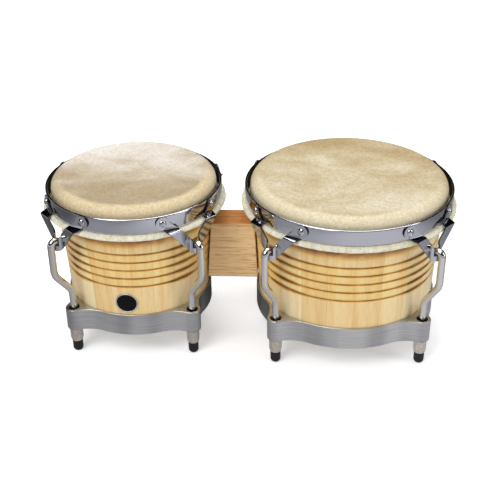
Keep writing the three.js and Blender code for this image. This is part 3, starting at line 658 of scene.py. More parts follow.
# Gloss black enamel baked on a brass blank: a level pool of black with tiny ripples
enamel = rippledBlack("bakedEnamel", "#050506", "#0A0A0B", 4.17, 1.0, 0.05, 0.2,
                      {"Roughness": 0.35, "Specular IOR Level": 0.15})
print("materials")


# The two drums, as the solids give them

drums = {
    # degrees that its rim and its nuts are turned, and which way along X the other drum lies
    "small": {"ringTurn": -0.2, "nutTurns": [8, 47, 30, 0], "inward": 1},
    "large": {"ringTurn": 1.1, "nutTurns": [21, 5, 15, 30], "inward": -1},
}
# the solids that give each drum its radii and heights
drumParts = {"shell": "shell", "skin": "skin", "rim": "rim", "roll": "rolled_edge", "cast": "bottom_casting"}
lugCount = 4
gap = 0.3  # between pieces that fit into each other

for label, drum in drums.items():
    for part, node in drumParts.items():
        low, high = span(f"{label}_{node}")
        drum[part + "Radius"] = (high.x - low.x) / 2
        drum[part + "Foot"], drum[part + "Top"] = low.z, high.z
        if part == "shell":
            drum["x"] = (low.x + high.x) / 2


def lugHeading(drum, lug):
    return 360 / lugCount * (lug + 0.5) + drum["ringTurn"]


# Wooden shell

shellShape = {
    "flare": {"small": 10, "large": 7.5},
    "flarePower": 1.65,
    "wall": 11,
    "shoulder": 10.2,
    "grooves": 5,
    "grooveLift": {"small": 100.6, "large": 98.9},
    "groovePitch": 10.5,
    "grooveHalf": 1.1,
    "grooveDepth": 1.5,
    "scorchReach": 2.3,
    "scorchFade": 1.5,
    "scorchLift": 0.3,  # the scorch sits higher, so the lower lip stays paler: a painted highlight on the lip
    "bandTint": 0.14,  # between the first groove and the last
    "rodShadowReach": 3.8,  # how much further the darkening goes near a rod: painted shadow of the claw and rod
    "rodShadowSpread": 11,  # degrees from a rod
    # painted shade below the rolled hide, standing in for its shadow on the wood: how dark, where it starts,
    # how far it fades
    "rollShade": 0.9,
    "rollShadeStart": 5.5,  # below the rolled hide
    "rollShadeReach": 12.5,
    "footRound": 0.8,
    "mouthRound": 0.8,
    "colourDepth": 1,  # how far below a groove's floor the scorch is worked out
    "sides": 180,
    "holeSides": 32,
    "shoulderSteps": 14,
    # rings of the plain wall: above the casting's top, in pitches from a groove, and in shares from the last
    # groove to the shoulder
    "footRings": (-4, 6, 16),
    "bandRings": (-0.5, -0.38, -0.28, 0.28, 0.38),
    "topRings": (0.125, 0.1875, 0.25, 0.3125, 0.375, 0.5, 0.75),
}
boltShape = {
    "acrossFlats": 11.1,
    "head": 4.2,
    "headTaper": 0.9,
    "headEase": 0.6,
    "radius": 3.175,
    "overlap": 0.5,
    "endTaper": 0.8,
    "washerRound": 0.4,
    "headSides": 60,
    "shankSides": 24,
    "washerSides": 48,
}
# half of a groove: place across it in half widths, and its depth as a share
grooveHalfCut = [(0.3, 0.95), (0.55, 0.78), (0.8, 0.4), (1.05, 0.08), (1.35, 0)]
grooveCut = [(-across, share) for across, share in grooveHalfCut] + [(0, 1)] + grooveHalfCut


def shellRadius(label, z):
    drum = drums[label]
    shoulderFoot = drum["shellTop"] - shellShape["shoulder"]
    climb = max(0, min(1, (z - drum["shellFoot"]) / (shoulderFoot - drum["shellFoot"])))
    return drum["shellRadius"] - shellShape["flare"][label] * (1 - climb ** shellShape["flarePower"])


def grooveHeights(label):
    top = drums[label]["shellFoot"] + shellShape["grooveLift"][label]
    return [top - k * shellShape["groovePitch"] for k in reversed(range(shellShape["grooves"]))]


def scorchAndShadeAt(label, place):
    # how dark the wood is: the scorched grooves, a painted shadow of the claws and rods that widens them
    # near the rods, and a painted shade below the rolled hide
    drum, shape = drums[label], shellShape
    bearing = math.degrees(math.atan2(place.y, place.x))
    fromLug = min(abs((bearing - lugHeading(drum, lug) + 180) % 360 - 180) for lug in range(lugCount))
    # painted shadow of the claw and rod: the scorch reaches further near each rod
    side = math.exp(-(fromLug / shape["rodShadowSpread"]) ** 2)
    reach = shape["scorchReach"] + shape["rodShadowReach"] * side
    heights = grooveHeights(label)
    away = min(abs(place.z - shape["scorchLift"] - z) for z in heights)
    groove = max(0, 1 - away / reach) ** shape["scorchFade"]
    if heights[0] < place.z < heights[-1]:
        groove = max(groove, shape["bandTint"])
    # painted shade below the rolled hide, standing in for its shadow on the wood
    below = drum["rollFoot"] - place.z - shape["rollShadeStart"]
    shade = shape["rollShade"] * max(0, min(1, 1 - below / shape["rollShadeReach"]))
    return max(groove, shade)


def makeShell(label):
    drum, shape = drums[label], shellShape
    ease = shape["footRound"]
    footRadius = shellRadius(label, drum["shellFoot"])
    profile = arc(footRadius - ease, drum["shellFoot"] + ease, ease, ease, -90, 0, 3)
    # heights, and how deep a groove is there
    marks = [(drum["castTop"] + lift, 0) for lift in shape["footRings"]]
    for middle in grooveHeights(label):
        marks += [(middle + shape["groovePitch"] * share, 0) for share in shape["bandRings"]]
        marks += [(middle + across * shape["grooveHalf"], share) for across, share in grooveCut]
    shoulderFoot, above = drum["shellTop"] - shape["shoulder"], grooveHeights(label)[-1]
    marks += [(above + (shoulderFoot - above) * share, 0) for share in shape["topRings"]]
    for z, share in sorted(marks):
        profile.append((shellRadius(label, z) - share * shape["grooveDepth"], z))
    bend = drum["shellRadius"] - shape["shoulder"]
    profile += arc(bend, shoulderFoot, shape["shoulder"], shape["shoulder"], 0, 90, shape["shoulderSteps"])
    inside = [drum["shellFoot"] + (shoulderFoot - drum["shellFoot"]) * k / 4 for k in (4, 3, 2, 1, 0)]
    inside = [drum["shellTop"] - shape["mouthRound"], *inside]
    profile += [(shellRadius(label, z) - shape["wall"], z) for z in inside]
    holes = []
    for k in (1, 2):
        low, high = span(f"{label}_block_bolt_{k}")
        hole = roundBar(boltShape["radius"] + gap, 0, drum["shellRadius"], shape["holeSides"])
        holes.append(moved(hole, (0, 0, (low.z + high.z) / 2), 90 * drum["inward"], "Y"))
    bm = worked(turned(profile, shape["sides"]), combine("DIFFERENCE", joined(*holes)))
    scorchAndShade = bm.verts.layers.float.new("scorchAndShade")
    for vert in bm.verts:
        outside = shellRadius(label, vert.co.z) - shape["grooveDepth"] - shape["colourDepth"]
        if math.hypot(vert.co.x, vert.co.y) > outside:
            vert[scorchAndShade] = scorchAndShadeAt(label, vert.co)
    moved(bm, (drum["x"], 0, 0))
    wood = staveWood(label, drum["x"] * toMetres, staveLook)
    piece(bm, label + "_stave_shell", wood, "drums", [label + "_shell"], "shell_wood")


# Hide head and its rolled edge

headShape = {
    "thick": 1.5,
    "rings": (0, 0.25, 0.5, 0.75, 0.95),  # shares of the flat part, on top and below
    "innerRings": (0.66, 0.33, 0),
    "crown": 12,
    "sides": 160,
}
rollShape = {
    "half": 4.9,
    "wall": 1.2,
    "mouth": 36,  # degrees left open round the hoop, and which way they face
    "mouthHeading": 205,
    "sides": 240,
    "steps": 22,
    "lumps": 0.45,  # how deep the dents between the lumps are
    "level": 0.5,  # how much of the hide lies below its lumps
    "lumpRate": 0.11,  # lumps in a millimetre
    "smallLumpRate": 0.43,
    "smallLumpShare": 0.6,
    "sagRate": 0.17,  # low places in a millimetre
    "sagShift": 9,  # sets them apart from the lumps
}


def makeHead(label):
    drum = drums[label]
    shoulder = shellShape["shoulder"]
    bend, shoulderFoot = drum["shellRadius"] - shoulder, drum["shellTop"] - shoulder
    outer = drum["skinTop"] - shoulderFoot
    thick = headShape["thick"]
    profile = [(bend * share, drum["skinTop"]) for share in headShape["rings"]]
    profile += arc(bend, shoulderFoot, outer, outer, 90, 0, headShape["crown"])
    profile += [(drum["skinRadius"], drum["skinFoot"]), (drum["skinRadius"] - thick, drum["skinFoot"])]
    profile += arc(bend, shoulderFoot, outer - thick, outer - thick, 0, 90, headShape["crown"])
    profile += [(bend * share, drum["skinTop"] - thick) for share in headShape["innerRings"]]
    bm = moved(turned(profile, headShape["sides"], closed=False), (drum["x"], 0, 0))
    look = {**hideGrain, **hideLook[label]}
    hide = rawhide(label, drum["x"] * toMetres, drum["skinRadius"] * toMetres, look)
    piece(bm, label + "_hide_head", hide, "drums", [label + "_skin"], "hide", crease=60)


def makeRoll(label):
    drum, shape = drums[label], rollShape
    middle = drum["rollRadius"] - shape["half"]
    height = (drum["rollTop"] + drum["rollFoot"]) / 2
    high = (drum["rollTop"] - drum["rollFoot"]) / 2
    start = shape["mouthHeading"] + shape["mouth"] / 2
    end = start + 360 - shape["mouth"]
    inner = [shape["half"] - shape["wall"], high - shape["wall"]]
    profile = arc(middle, height, shape["half"], high, start, end, shape["steps"])
    profile += arc(middle, height, *inner, end, start, shape["steps"])
    bm = turned(profile, shape["sides"])
    for vert in bm.verts:
        lump = noise.noise(vert.co * shape["lumpRate"])
        lump += shape["smallLumpShare"] * noise.noise(vert.co * shape["smallLumpRate"])
        outwards = Vector((vert.co.x, vert.co.y, 0)).normalized()
        vert.co -= outwards * max(0, shape["level"] + lump) * shape["lumps"]
        sag = noise.noise(vert.co * shape["sagRate"] + up * shape["sagShift"])
        vert.co.z -= max(0, sag) * shape["lumps"]
    moved(bm, (drum["x"], 0, 0))
    piece(bm, label + "_rolled_hide", rollMaterial, label + "_tuning_rim", [label + "_rolled_edge"],
          "rolled_hide")


# Steel rim

# the share of the inner round that keeps the chrome; past it the inside is painted dark, as shade
rimShape = {"thick": 2.5, "round": 1.1, "footRound": 0.5, "brightShare": 0.35, "sides": 180}


def makeRim(label):
    drum, shape = drums[label], rimShape
    outer, inner, ease = drum["rimRadius"], drum["rimRadius"] - shape["thick"], shape["round"]
    low, high = drum["rimFoot"], drum["rimTop"]
    foot = shape["footRound"]
    profile = arc(outer - foot, low + foot, foot, foot, -90, 0, 3)
    profile += arc(outer - ease, high - ease, ease, ease, 0, 90, 6)
    profile += arc(inner + ease, high - ease, ease, ease, 90, 180, 6)
    profile += [(inner, low)]
    bm = turned(profile, shape["sides"])
    for face in bm.faces:  # the band is chrome outside and over its edge, and painted dark inside: shade
        middle = face.calc_center_median()
        face.material_index = int(math.hypot(middle.x, middle.y) < inner + ease * shape["brightShare"])
    moved(bm, (drum["x"], 0, 0))
    rim = piece(bm, label + "_chromed_rim", chrome, label + "_tuning_rim", [label + "_rim"], "chrome")
    rim.data.materials.append(shadedInnerSteel)


# Claws

clawShape = {
    "thick": 1.6,
    "rivetOffset": 33,
    "rivetLift": 1.2,
    "endRadius": 7.5,
    "half": 5.6,
    "slant": 45,
    "shelfDrop": 8.2,  # from the rivets down to the fold
    "shelfFall": 1.9,  # how far the shelf falls, and its legs close in, on the way out to the rod
    "shelfLean": 1.4,
    "bendRadius": 2,  # where a leg turns into the bulge
    "bulgeDrop": 6,  # from the middle of the hook to the bulge's lower edge
    "footLift": 0.9,  # how that edge rises to the sides, in the bulge and beyond it
    "footClimb": 1.24,
    "headHeight": 11.0,  # the same for the upper edge
    "headClimb": 2.3,
    "notchHalf": 4.47,
    "notchLift": 0.5,
    "rivetRadius": 4,
    "rivetHeight": 2.2,
    "rivetSink": 1,
    "rivetSides": 28,
    "rivetSteps": 7,
    "shankRadius": 2.1,
    "tailRadius": 4,
    "tailHeight": 1,
    "tailRound": 0.5,
    "endTurn": 84,  # degrees of a strap's round end, up to its middle
    "endSteps": 12,
    "creaseRound": 2.1,  # where the strap is folded at its shelf
    "creaseSteps": 6,
    "edgeRound": 0.6,
    "edgeSteps": 3,
    "edgeLimit": 50,  # degrees: sharper edges than this are rounded
}
rodShape = {
    "radius": 3.97,
    "standOff": 16,
    "hookRadius": 5.27,
    "hookTop": 152,
    "hookTail": 6,
    "bendRadius": 18,
    "upperBend": 106.8,
    "lowerBend": 80.3,
    "bossStandOff": 11.4,
    "end": 2.7,
    "endRound": 0.7,
    "sides": 28,
    "hookSteps": 20,
    "bendSteps": 10,
}
hookMiddle = rodShape["hookTop"] - rodShape["radius"] - rodShape["hookRadius"]


def rivetHeight(drum):
    return (drum["rimFoot"] + drum["rimTop"]) / 2 + clawShape["rivetLift"]


def bulgePlan():
    # places across the strap, from the end of the leg's plane round the bend to the front of the bulge
    tail, bend, notch = rodShape["hookRadius"], clawShape["bendRadius"], clawShape["notchHalf"]
    start = math.sqrt(tail ** 2 + 2 * tail * bend)
    meet = math.degrees(math.atan2(start, bend))
    notchTurn = math.degrees(math.asin(notch / tail))
    places = arc(bend, start, bend, bend, 180, 180 + meet, 4)
    places += arc(0, 0, tail, tail, meet, notchTurn, 2)[1:]
    return places + arc(0, 0, tail, tail, notchTurn, 0, 4)[1:]


def clawStations(drum):
    # pairs of points across the folded strap, from one round end to the other, and where the shelf starts
    shape = clawShape
    plate = drum["rimRadius"] + gap + shape["thick"] / 2
    bearing = math.asin(shape["rivetOffset"] / drum["rimRadius"])
    out = Vector((math.cos(bearing), math.sin(bearing), 0))
    along = Vector((-math.sin(bearing), math.cos(bearing), 0))
    slant = math.radians(shape["slant"])
    down = -math.sin(slant) * along - math.cos(slant) * up
    across = -math.cos(slant) * along + math.sin(slant) * up
    centre = out * plate + up * rivetHeight(drum)
    stations = []
    neck = math.degrees(math.acos(shape["half"] / shape["endRadius"]))
    for k in range(shape["endSteps"] + 1):
        turn = math.radians(-shape["endTurn"] + (shape["endTurn"] + neck) * k / shape["endSteps"])
        half = shape["endRadius"] * math.cos(turn)
        place = centre + down * shape["endRadius"] * math.sin(turn)
        stations.append((place + across * half, place - across * half))
    shelf = []
    for half in (shape["half"], -shape["half"]):
        edge = centre + across * half
        run = (shape["shelfDrop"] + across.z * half) / -down.z
        shelf.append(edge + down * run)
    shelfStart = len(stations)
    stations.append(tuple(shelf))
    tail = rodShape["hookRadius"]
    legs = drum["rimRadius"] + rodShape["standOff"] - 2 * tail
    stations.append(tuple(
        Vector((legs, point.y - shape["shelfLean"], point.z - shape["shelfFall"])) for point in shelf))
    for x, y in bulgePlan():
        foot = shape["footLift"] * min(1, y / tail) ** 2 + shape["footClimb"] * max(0, y - tail)
        head = shape["headHeight"] + shape["headClimb"] * (y - tail)
        stations.append((Vector((legs + x, y, hookMiddle + head)),
                         Vector((legs + x, y, hookMiddle - shape["bulgeDrop"] + foot))))
    mirrored = [tuple(Vector((p.x, -p.y, p.z)) for p in pair) for pair in stations[:-1]]
    return stations + mirrored[::-1], shelfStart


def strap(stations):
    # one edge, extruded from station to station
    bm = bmesh.new()
    ends = [bm.verts.new(point) for point in stations[0]]
    edges = [bm.edges.new(ends)]
    for station in stations[1:]:
        made = bmesh.ops.extrude_edge_only(bm, edges=edges[-1:])["geom"]
        verts = onlyVerts(made)
        if (verts[0].co - ends[0].co).length > (verts[1].co - ends[0].co).length:
            verts.reverse()
        edges.append(bm.edges.get(verts))
        for vert, point in zip(verts, station):
            vert.co = point
        ends = verts
    return bm, edges


def makeRivet(drum):
    shape = clawShape
    face = drum["rimRadius"] + gap + shape["thick"]
    back = drum["rimRadius"] - rimShape["thick"] - gap
    tail, ease = shape["tailRadius"], shape["tailRound"]
    end, seat = back - shape["tailHeight"], face - shape["rivetSink"]
    profile = [(0, end), (tail - ease, end), (tail, end + ease), (tail, back), (shape["shankRadius"], back),
               (shape["shankRadius"], seat), (shape["rivetRadius"], seat)]
    profile += arc(0, face, shape["rivetRadius"], shape["rivetHeight"], 0, 90, shape["rivetSteps"])
    rivet = turned(profile, shape["rivetSides"], closed=False)
    return moved(rivet, (0, 0, rivetHeight(drum)), 90, "Y")


def placeAtLugs(label, bm, name, node, material, **finish):
    # a copy of the shape at each lug, on the body of the rim
    drum, made = drums[label], []
    for lug in range(lugCount):
        copy = moved(bm.copy(), (drum["x"], 0, 0), lugHeading(drum, lug))
        made.append(piece(copy, f"{label}_{name}_{lug + 1}", material, label + "_tuning_rim",
                          [f"{label}_{node}_{lug + 1}"], "chrome", **finish))
    bm.free()
    return made


def makeClaws(label):
    drum, shape = drums[label], clawShape
    stations, shelfStart = clawStations(drum)
    bm, edges = strap(stations)
    bends = [shelfStart, shelfStart + 1]
    bends += [len(stations) - 1 - k for k in bends]
    rounded(bm, [edges[k] for k in bends], shape["creaseRound"], shape["creaseSteps"], clamp=True)
    middle = [f for f in bm.faces if abs(f.calc_center_median().y) < shape["notchHalf"]]
    parts = middle + list({e for f in middle for e in f.edges}) + list({v for f in middle for v in f.verts})
    notchFloor = hookMiddle + shape["notchLift"]
    bmesh.ops.bisect_plane(bm, geom=parts, plane_co=(0, 0, notchFloor), plane_no=up)
    above = [f for f in bm.faces if abs(f.calc_center_median().y) < shape["notchHalf"]
             and f.calc_center_median().z > notchFloor]
    bmesh.ops.delete(bm, geom=above, context="FACES")
    bmesh.ops.recalc_face_normals(bm, faces=bm.faces)
    plate = worked(
        bm,
        ("SOLIDIFY", {"thickness": shape["thick"], "offset": 0, "use_even_offset": True,
                      "material_offset_rim": 1}),
        ("BEVEL", {"width": shape["edgeRound"], "segments": shape["edgeSteps"], "limit_method": "ANGLE",
                   "angle_limit": math.radians(shape["edgeLimit"])}),
    )
    bearing = math.degrees(math.asin(shape["rivetOffset"] / drum["rimRadius"]))
    rivets = [moved(makeRivet(drum), turn=side * bearing) for side in (-1, 1)]
    claws = placeAtLugs(label, joined(plate, *rivets), "folded_claw", "claw", chrome, crease=38, even=True)
    # the straps' thin sides take the dark steel: painted shade
    for claw in claws:
        claw.data.materials.append(shadedEdgeSteel)


# Hooked rods

castShape = {
    "wall": 1.9,
    "fillet": 40,
    "bossRadius": 9.5,
    "bossDrop": 1.2,
    "bossFootInset": 1,
    "cupRadius": 6.25,
    "boreRadius": 4.8,
    "boreFloor": 9,
    "ledge": 3.8,
    "ledgeWidth": 9.5,
    "edgeRound": 0.9,
    "mouthEase": 0.8,
    "lipEase": 0.5,
    "bossEase": 0.6,
    "stub": 6,  # how far a boss's foot reaches up into the ring
    "closing": 0.01,  # ends of the outline nearer than this are closed
    "filletSteps": 9,
    "bossSteps": 26,
    "ringSteps": 22,
    "seatSides": 144,
    "stubSides": 48,
    "wellSides": 40,
}
cutOver = 2  # how far a cut runs past the face that it opens


def castingOuter(label):
    return shellRadius(label, drums[label]["castTop"]) + gap + castShape["wall"]


def lowerRod(label):
    return castingOuter(label) + rodShape["bossStandOff"]


def swept(radius, sides, start, moves, ease):
    # a round bar from a start point, along straight runs and round bends in the plane of its lug
    bm = bmesh.new()
    bmesh.ops.create_circle(bm, cap_ends=True, radius=radius, segments=sides)
    bmesh.ops.translate(bm, vec=start, verts=bm.verts)
    ring, verts = list(bm.edges), list(bm.verts)
    for kind, *move in moves:
        if kind == "run":
            made = bmesh.ops.extrude_edge_only(bm, edges=ring)["geom"]
            verts = onlyVerts(made)
            bmesh.ops.translate(bm, vec=move[0], verts=verts)
        else:
            centre, degrees, steps = move
            made = bmesh.ops.spin(bm, geom=ring + verts, cent=centre, axis=sideways,
                                  angle=math.radians(degrees), steps=steps)["geom_last"]
            verts = onlyVerts(made)
        ends = set(verts)
        ring = [e for e in made if isinstance(e, bmesh.types.BMEdge) and ends.issuperset(e.verts)]
    bmesh.ops.edgeloop_fill(bm, edges=ring)
    tidyMesh(bm)
    rounded(bm, {e for f in bm.faces if len(f.verts) == sides for e in f.edges}, ease)
    return bm


def makeRods(label):
    drum, shape = drums[label], rodShape
    upper, lower = drum["rimRadius"] + shape["standOff"], lowerRod(label)
    hook, bend = shape["hookRadius"], shape["bendRadius"]
    slope = math.atan2(shape["upperBend"] - shape["lowerBend"], upper - lower)
    turn = math.pi / 2 - slope
    tangent = bend * math.tan(turn / 2)
    highZ, lowZ = shape["upperBend"] + tangent, shape["lowerBend"] - tangent
    first = Vector((upper - bend + bend * math.cos(turn), 0, highZ - bend * math.sin(turn)))
    second = Vector((lower + bend - bend * math.cos(turn), 0, lowZ + bend * math.sin(turn)))
    moves = [
        ("run", (0, 0, shape["hookTail"])),
        ("bend", (upper - hook, 0, hookMiddle), 180, shape["hookSteps"]),
        ("run", (0, 0, highZ - hookMiddle)),
        ("bend", (upper - bend, 0, highZ), math.degrees(turn), shape["bendSteps"]),
        ("run", second - first),
        ("bend", (lower + bend, 0, lowZ), -math.degrees(turn), shape["bendSteps"]),
        ("run", (0, 0, shape["end"] - lowZ)),
    ]
    start = (upper - 2 * hook, 0, hookMiddle - shape["hookTail"])
    rod = swept(shape["radius"], shape["sides"], start, moves, shape["endRound"])
    placeAtLugs(label, rod, "bent_rod", "hook_rod", rodSteel)


# Nuts and rubber tips

nutShape = {
    "acrossFlats": 12.7,
    "taper": 0.9,
    "taperHeight": 4.5,
    "footEase": 0.5,
    "footHeight": 0.6,
    "topEase": 0.5,
    "bore": rodShape["radius"] + gap,
    "edgeRound": 0.35,
    "sides": 72,
    "boreSides": 32,
}
tipShape = {
    "radius": 5.8,
    "flat": 2,
    "round": 4.6,
    "floor": 2.4,
    "bore": rodShape["radius"] + gap,
    "lip": 0.5,
    "sides": 40,
    "roundSteps": 12,
    "lipSteps": 4,
}


def hexCorner(acrossFlats):
    return acrossFlats / 2 / math.cos(math.radians(30))


def rise(edge):
    # how much higher one end of an edge is than the other
    return abs(edge.verts[0].co.z - edge.verts[1].co.z)


def hexBar(acrossFlats, low, high):
    # upright six-sided bar with its corners just broken
    bm = bmesh.new()
    bmesh.ops.create_circle(bm, cap_ends=True, radius=hexCorner(acrossFlats), segments=6)
    extruded(moved(bm, (0, 0, low), 30), (0, 0, high - low))
    rounded(bm, [e for e in bm.edges if rise(e) > samePlace], nutShape["edgeRound"], 2)
    return bm


def nodeAxis(node):
    low, high = span(node)
    return (low + high) / 2, low.z, high.z


def makeNuts(label):
    drum, shape = drums[label], nutShape
    _, low, high = nodeAxis(label + "_nut_1")
    corner = hexCorner(shape["acrossFlats"])
    slim = corner - shape["taper"]
    limit = turned([(0, low), (slim - shape["footEase"], low), (slim, low + shape["footHeight"]),
                    (corner, low + shape["taperHeight"]), (corner, high - shape["topEase"]),
                    (corner - shape["topEase"], high), (0, high)], shape["sides"], closed=False)
    bore = roundBar(shape["bore"], low - cutOver, high + cutOver, shape["boreSides"])
    nut = worked(hexBar(shape["acrossFlats"], low, high), combine("INTERSECT", limit),
                 combine("DIFFERENCE", bore))
    for lug in range(lugCount):
        node = f"{label}_nut_{lug + 1}"
        middle, _, _ = nodeAxis(node)
        copy = moved(nut.copy(), (middle.x, middle.y, 0), lugHeading(drum, lug) + drum["nutTurns"][lug])
        piece(copy, f"{label}_hex_nut_{lug + 1}", nutZinc, node, [node], "zinc_plate", even=True)
    nut.free()


def makeTips(label):
    shape = tipShape
    _, low, high = nodeAxis(label + "_rubber_tip_1")
    wide, lip = shape["radius"] - shape["flat"], shape["lip"]
    profile = [(0, low)]
    profile += arc(shape["flat"], low + shape["round"], wide, shape["round"], -90, 0, shape["roundSteps"])
    profile += arc(shape["radius"] - lip, high - lip, lip, lip, 0, 90, shape["lipSteps"])
    profile += [(shape["bore"], high), (shape["bore"], low + shape["floor"]), (0, low + shape["floor"])]
    tip = turned(profile, shape["sides"], closed=False)
    for lug in range(lugCount):
        node = f"{label}_rubber_tip_{lug + 1}"
        middle, _, _ = nodeAxis(node)
        copy = moved(tip.copy(), (middle.x, middle.y, 0))
        piece(copy, f"{label}_moulded_tip_{lug + 1}", rubber, label + "_tuning_rim", [node], "rubber")
    tip.free()


# Cast ring

def makeCasting(label):
    drum, shape = drums[label], castShape
    ring, boss, fillet = castingOuter(label), lowerRod(label), shape["fillet"]
    web, reach = ring + fillet, shape["bossRadius"] + fillet
    spread = math.degrees(math.acos((web ** 2 + boss ** 2 - reach ** 2) / (2 * web * boss)))
    lean = math.degrees(math.acos((web ** 2 + reach ** 2 - boss ** 2) / (2 * web * reach)))

    def atBearing(radius, bearing):
        return Vector((radius * math.cos(math.radians(bearing)), radius * math.sin(math.radians(bearing)), 0))

    bm = bmesh.new()
    pen = bm.verts.new(atBearing(ring, lugHeading(drum, 0) - spread))
    for lug in range(lugCount):  # the outline: one point spun round each centre in turn
        heading = lugHeading(drum, lug)
        bends = [
            (atBearing(web, heading - spread), -lean, shape["filletSteps"]),
            (atBearing(boss, heading), 2 * (spread + lean), shape["bossSteps"]),
            (atBearing(web, heading + spread), -lean, shape["filletSteps"]),
            (Vector(), 360 / lugCount - 2 * spread, shape["ringSteps"]),
        ]
        for centre, degrees, steps in bends:
            made = bmesh.ops.spin(bm, geom=[pen], cent=centre, axis=up, angle=math.radians(degrees),
                                  steps=steps)
            pen = onlyVerts(made["geom_last"])[0]
    bmesh.ops.remove_doubles(bm, verts=bm.verts, dist=shape["closing"])
    bmesh.ops.edgeloop_fill(bm, edges=bm.edges)
    foot, top = drum["castFoot"], drum["castTop"]
    ringFoot = foot + shape["bossDrop"]
    extruded(bm, (0, 0, top - ringFoot))
    rounded(bm, [e for e in bm.edges if rise(e) < samePlace], shape["edgeRound"])
    moved(bm, (0, 0, ringFoot))

    ledgeTop = ringFoot + shape["ledge"]
    footRadius = shellRadius(label, drum["shellFoot"]) + gap
    seatTop = shellRadius(label, top) + gap
    mouth, ease = footRadius - shape["ledgeWidth"], shape["mouthEase"]
    lip = shape["lipEase"]
    seat = turned([(0, ringFoot - cutOver), (mouth + ease, ringFoot - cutOver), (mouth + ease, ringFoot),
                   (mouth, ringFoot + ease), (mouth, ledgeTop), (footRadius, ledgeTop), (seatTop, top - lip),
                   (seatTop + lip, top), (seatTop + lip, top + cutOver), (0, top + cutOver)],
                  shape["seatSides"], closed=False)
    slim, ease = shape["bossRadius"] - shape["bossFootInset"], shape["bossEase"]
    bore, cup, step = shape["boreRadius"], shape["cupRadius"], foot + shape["boreFloor"]
    feet, wells = [], []
    for lug in range(lugCount):
        place = atBearing(boss, lugHeading(drum, lug))
        stubTop = ringFoot + shape["stub"]
        stub = turned([(0, foot), *arc(slim - ease, foot + ease, ease, ease, -90, 0, 3), (slim, stubTop),
                       (0, stubTop)], shape["stubSides"], closed=False)
        feet.append(moved(stub, place))
        well = turned([(0, foot - cutOver), (bore, foot - cutOver), (bore, step), (cup, step),
                       (cup, top - ease), (cup + ease, top), (cup + ease, top + cutOver), (0, top + cutOver)],
                      shape["wellSides"], closed=False)
        wells.append(moved(well, place))
    cast = worked(bm, combine("UNION", joined(*feet)), combine("DIFFERENCE", seat),
                  combine("DIFFERENCE", joined(*wells)))
    moved(cast, (drum["x"], 0, 0))
    piece(cast, label + "_cast_ring", aluminium, "drums", [label + "_bottom_casting"], "cast_aluminium",
          even=True)


# Centre block and its bolts

# mouth: how far an insert's hole runs past the insert
blockShape = {"edgeRound": 1.4, "edgeLimit": 45, "mouth": 3, "steps": 6, "holeSides": 40}


def makeBlock():
    # its ends are straight across but follow the shells' flare in height
    low, high = span("centre_block")
    heights = [low.z + (high.z - low.z) * k / blockShape["steps"] for k in range(blockShape["steps"] + 1)]
    outline = [(drums["small"]["x"] + shellRadius("small", z) + gap, z) for z in heights]
    outline += [(drums["large"]["x"] - shellRadius("large", z) - gap, z) for z in reversed(heights)]
    bm = bmesh.new()
    verts = [bm.verts.new((x, low.y, z)) for x, z in outline]
    for pair in zip(verts, verts[1:] + verts[:1]):
        bm.edges.new(pair)
    bmesh.ops.edgeloop_fill(bm, edges=bm.edges)
    extruded(bm, (0, high.y - low.y, 0))
    sharp = [e for e in bm.edges if e.calc_face_angle() > math.radians(blockShape["edgeLimit"])]
    rounded(bm, sharp, blockShape["edgeRound"])
    holes = []
    for name in sorted(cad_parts):
        if "_block_insert_" in name:
            start, end = span(name)
            radius, length = (end.z - start.z) / 2 + gap, end.x - start.x + blockShape["mouth"] + gap
            back = blockShape["mouth"] if name.startswith("small") else gap
            place = (start.x - back, 0, (start.z + end.z) / 2)
            holes.append(moved(roundBar(radius, 0, length, blockShape["holeSides"]), place, 90, "Y"))
    block = worked(bm, combine("DIFFERENCE", joined(*holes)))
    wood = blockWood((low.z + high.z) / 2 * toMetres, (high.z - low.z) / 2 * toMetres, blockLook)
    piece(block, "wooden_block", wood, "drums", ["centre_block"], "block_wood", even=True)


def makeBolts(label):
    drum, shape = drums[label], boltShape
    side = drum["inward"]
    for k in (1, 2):
        node = f"{label}_block_bolt_{k}"
        low, high = span(node)
        head, end = (low.x, high.x) if side > 0 else (high.x, low.x)
        length = abs(end - head)
        top, corner = shape["head"], hexCorner(shape["acrossFlats"])
        limit = turned([(0, 0), (corner - shape["headTaper"], 0), (corner, shape["headEase"]), (corner, top),
                        (0, top)], shape["headSides"], closed=False)
        bar = worked(hexBar(shape["acrossFlats"], 0, top), combine("INTERSECT", limit))
        radius, start, ease = shape["radius"], top - shape["overlap"], shape["endTaper"]
        shank = turned([(0, start), (radius, start), (radius, length - ease), (radius - ease, length),
                        (0, length)], shape["shankSides"], closed=False)
        bolt = moved(joined(bar, shank), (head, 0, (low.z + high.z) / 2), 90 * side, "Y")
        piece(bolt, f"{label}_hex_bolt_{k}", boltSteel, "drums", [node], "steel", even=True)

        node = f"{label}_block_washer_{k}"
        low, high = span(node)
        outer, thick, ease = (high.z - low.z) / 2, high.x - low.x, shape["washerRound"]
        bore = shape["radius"] + gap
        profile = [(bore, 0), *arc(outer - ease, ease, ease, ease, -90, 0, 2),
                   *arc(outer - ease, thick - ease, ease, ease, 0, 90, 2), (bore, thick)]
        washer = turned(profile, shape["washerSides"])
        moved(washer, (low.x, 0, (low.z + high.z) / 2), 90, "Y")
        piece(washer, f"{label}_flat_washer_{k}", boltSteel, "drums", [node], "steel")


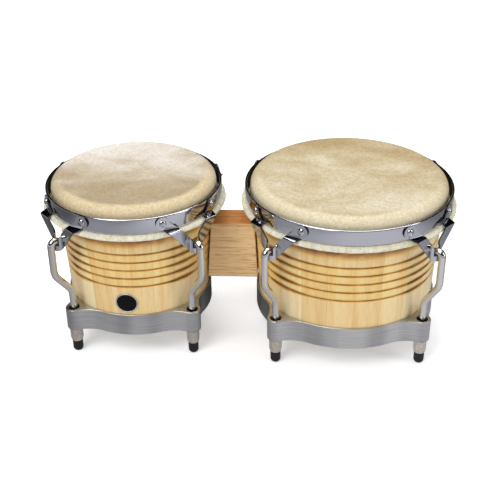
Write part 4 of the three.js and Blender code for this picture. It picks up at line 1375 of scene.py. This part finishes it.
# Badge plate

badgeShape = {
    "radius": 12.5,
    "thick": 1.2,
    "sunk": 0.35,  # how far the black face lies below the ring's top
    "rimWidth": 1.5,
    "rimRound": 0.5,
    "rimSteps": 4,
    "lift": 38,
    "heading": -92.7,
    "sides": 72,
    "rings": 8,
}


def bentToShell(bm, label):
    # lays a flat disc, drawn across X and up Y, on the side of the shell
    drum = drums[label]
    for vert in bm.verts:
        z = drum["shellFoot"] + badgeShape["lift"] + vert.co.y
        radius = shellRadius(label, z) + gap
        bearing = math.radians(badgeShape["heading"]) + vert.co.x / radius
        radius += vert.co.z
        vert.co = (drum["x"] + radius * math.cos(bearing), radius * math.sin(bearing), z)
    return bm


def makeBadge():
    shape = badgeShape
    outer, thick = shape["radius"], shape["thick"]
    inner = outer - shape["rimWidth"]
    radii = [inner * k / shape["rings"] for k in range(shape["rings"] + 1)]
    front = [(radius, thick - shape["sunk"]) for radius in radii]
    face = turned(front + [(radius, 0) for radius in reversed(radii)], shape["sides"], closed=False)
    ease = shape["rimRound"]
    bead = turned([(inner, 0), (outer, 0),
                   *arc(outer - ease, thick - ease, ease, ease, 0, 90, shape["rimSteps"]),
                   *arc(inner + ease, thick - ease, ease, ease, 90, 180, shape["rimSteps"])], shape["sides"])
    piece(bentToShell(face, "small"), "badge_black_face", enamel, "drums", ["badge_plate"], "badge_enamel")
    piece(bentToShell(bead, "small"), "badge_bright_ring", badgeRim, "drums", [], "badge_enamel")


for label in drums:
    makeShell(label)
    makeHead(label)
    makeRoll(label)
    makeRim(label)
print("shells, heads and rims")
for label in drums:
    makeClaws(label)
    makeRods(label)
    makeNuts(label)
    makeTips(label)
print("claws, rods, nuts and tips")
for label in drums:
    makeCasting(label)
    makeBolts(label)
makeBlock()
makeBadge()
print("castings, block, bolts and badge")

for name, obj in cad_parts.items():  # hidden pieces that keep their solids
    if "_insert_" in name or "_flesh_hoop" in name:
        obj.data.materials.clear()
        obj.data.materials.append(insertBrass if "_insert_" in name else hoopSteel)
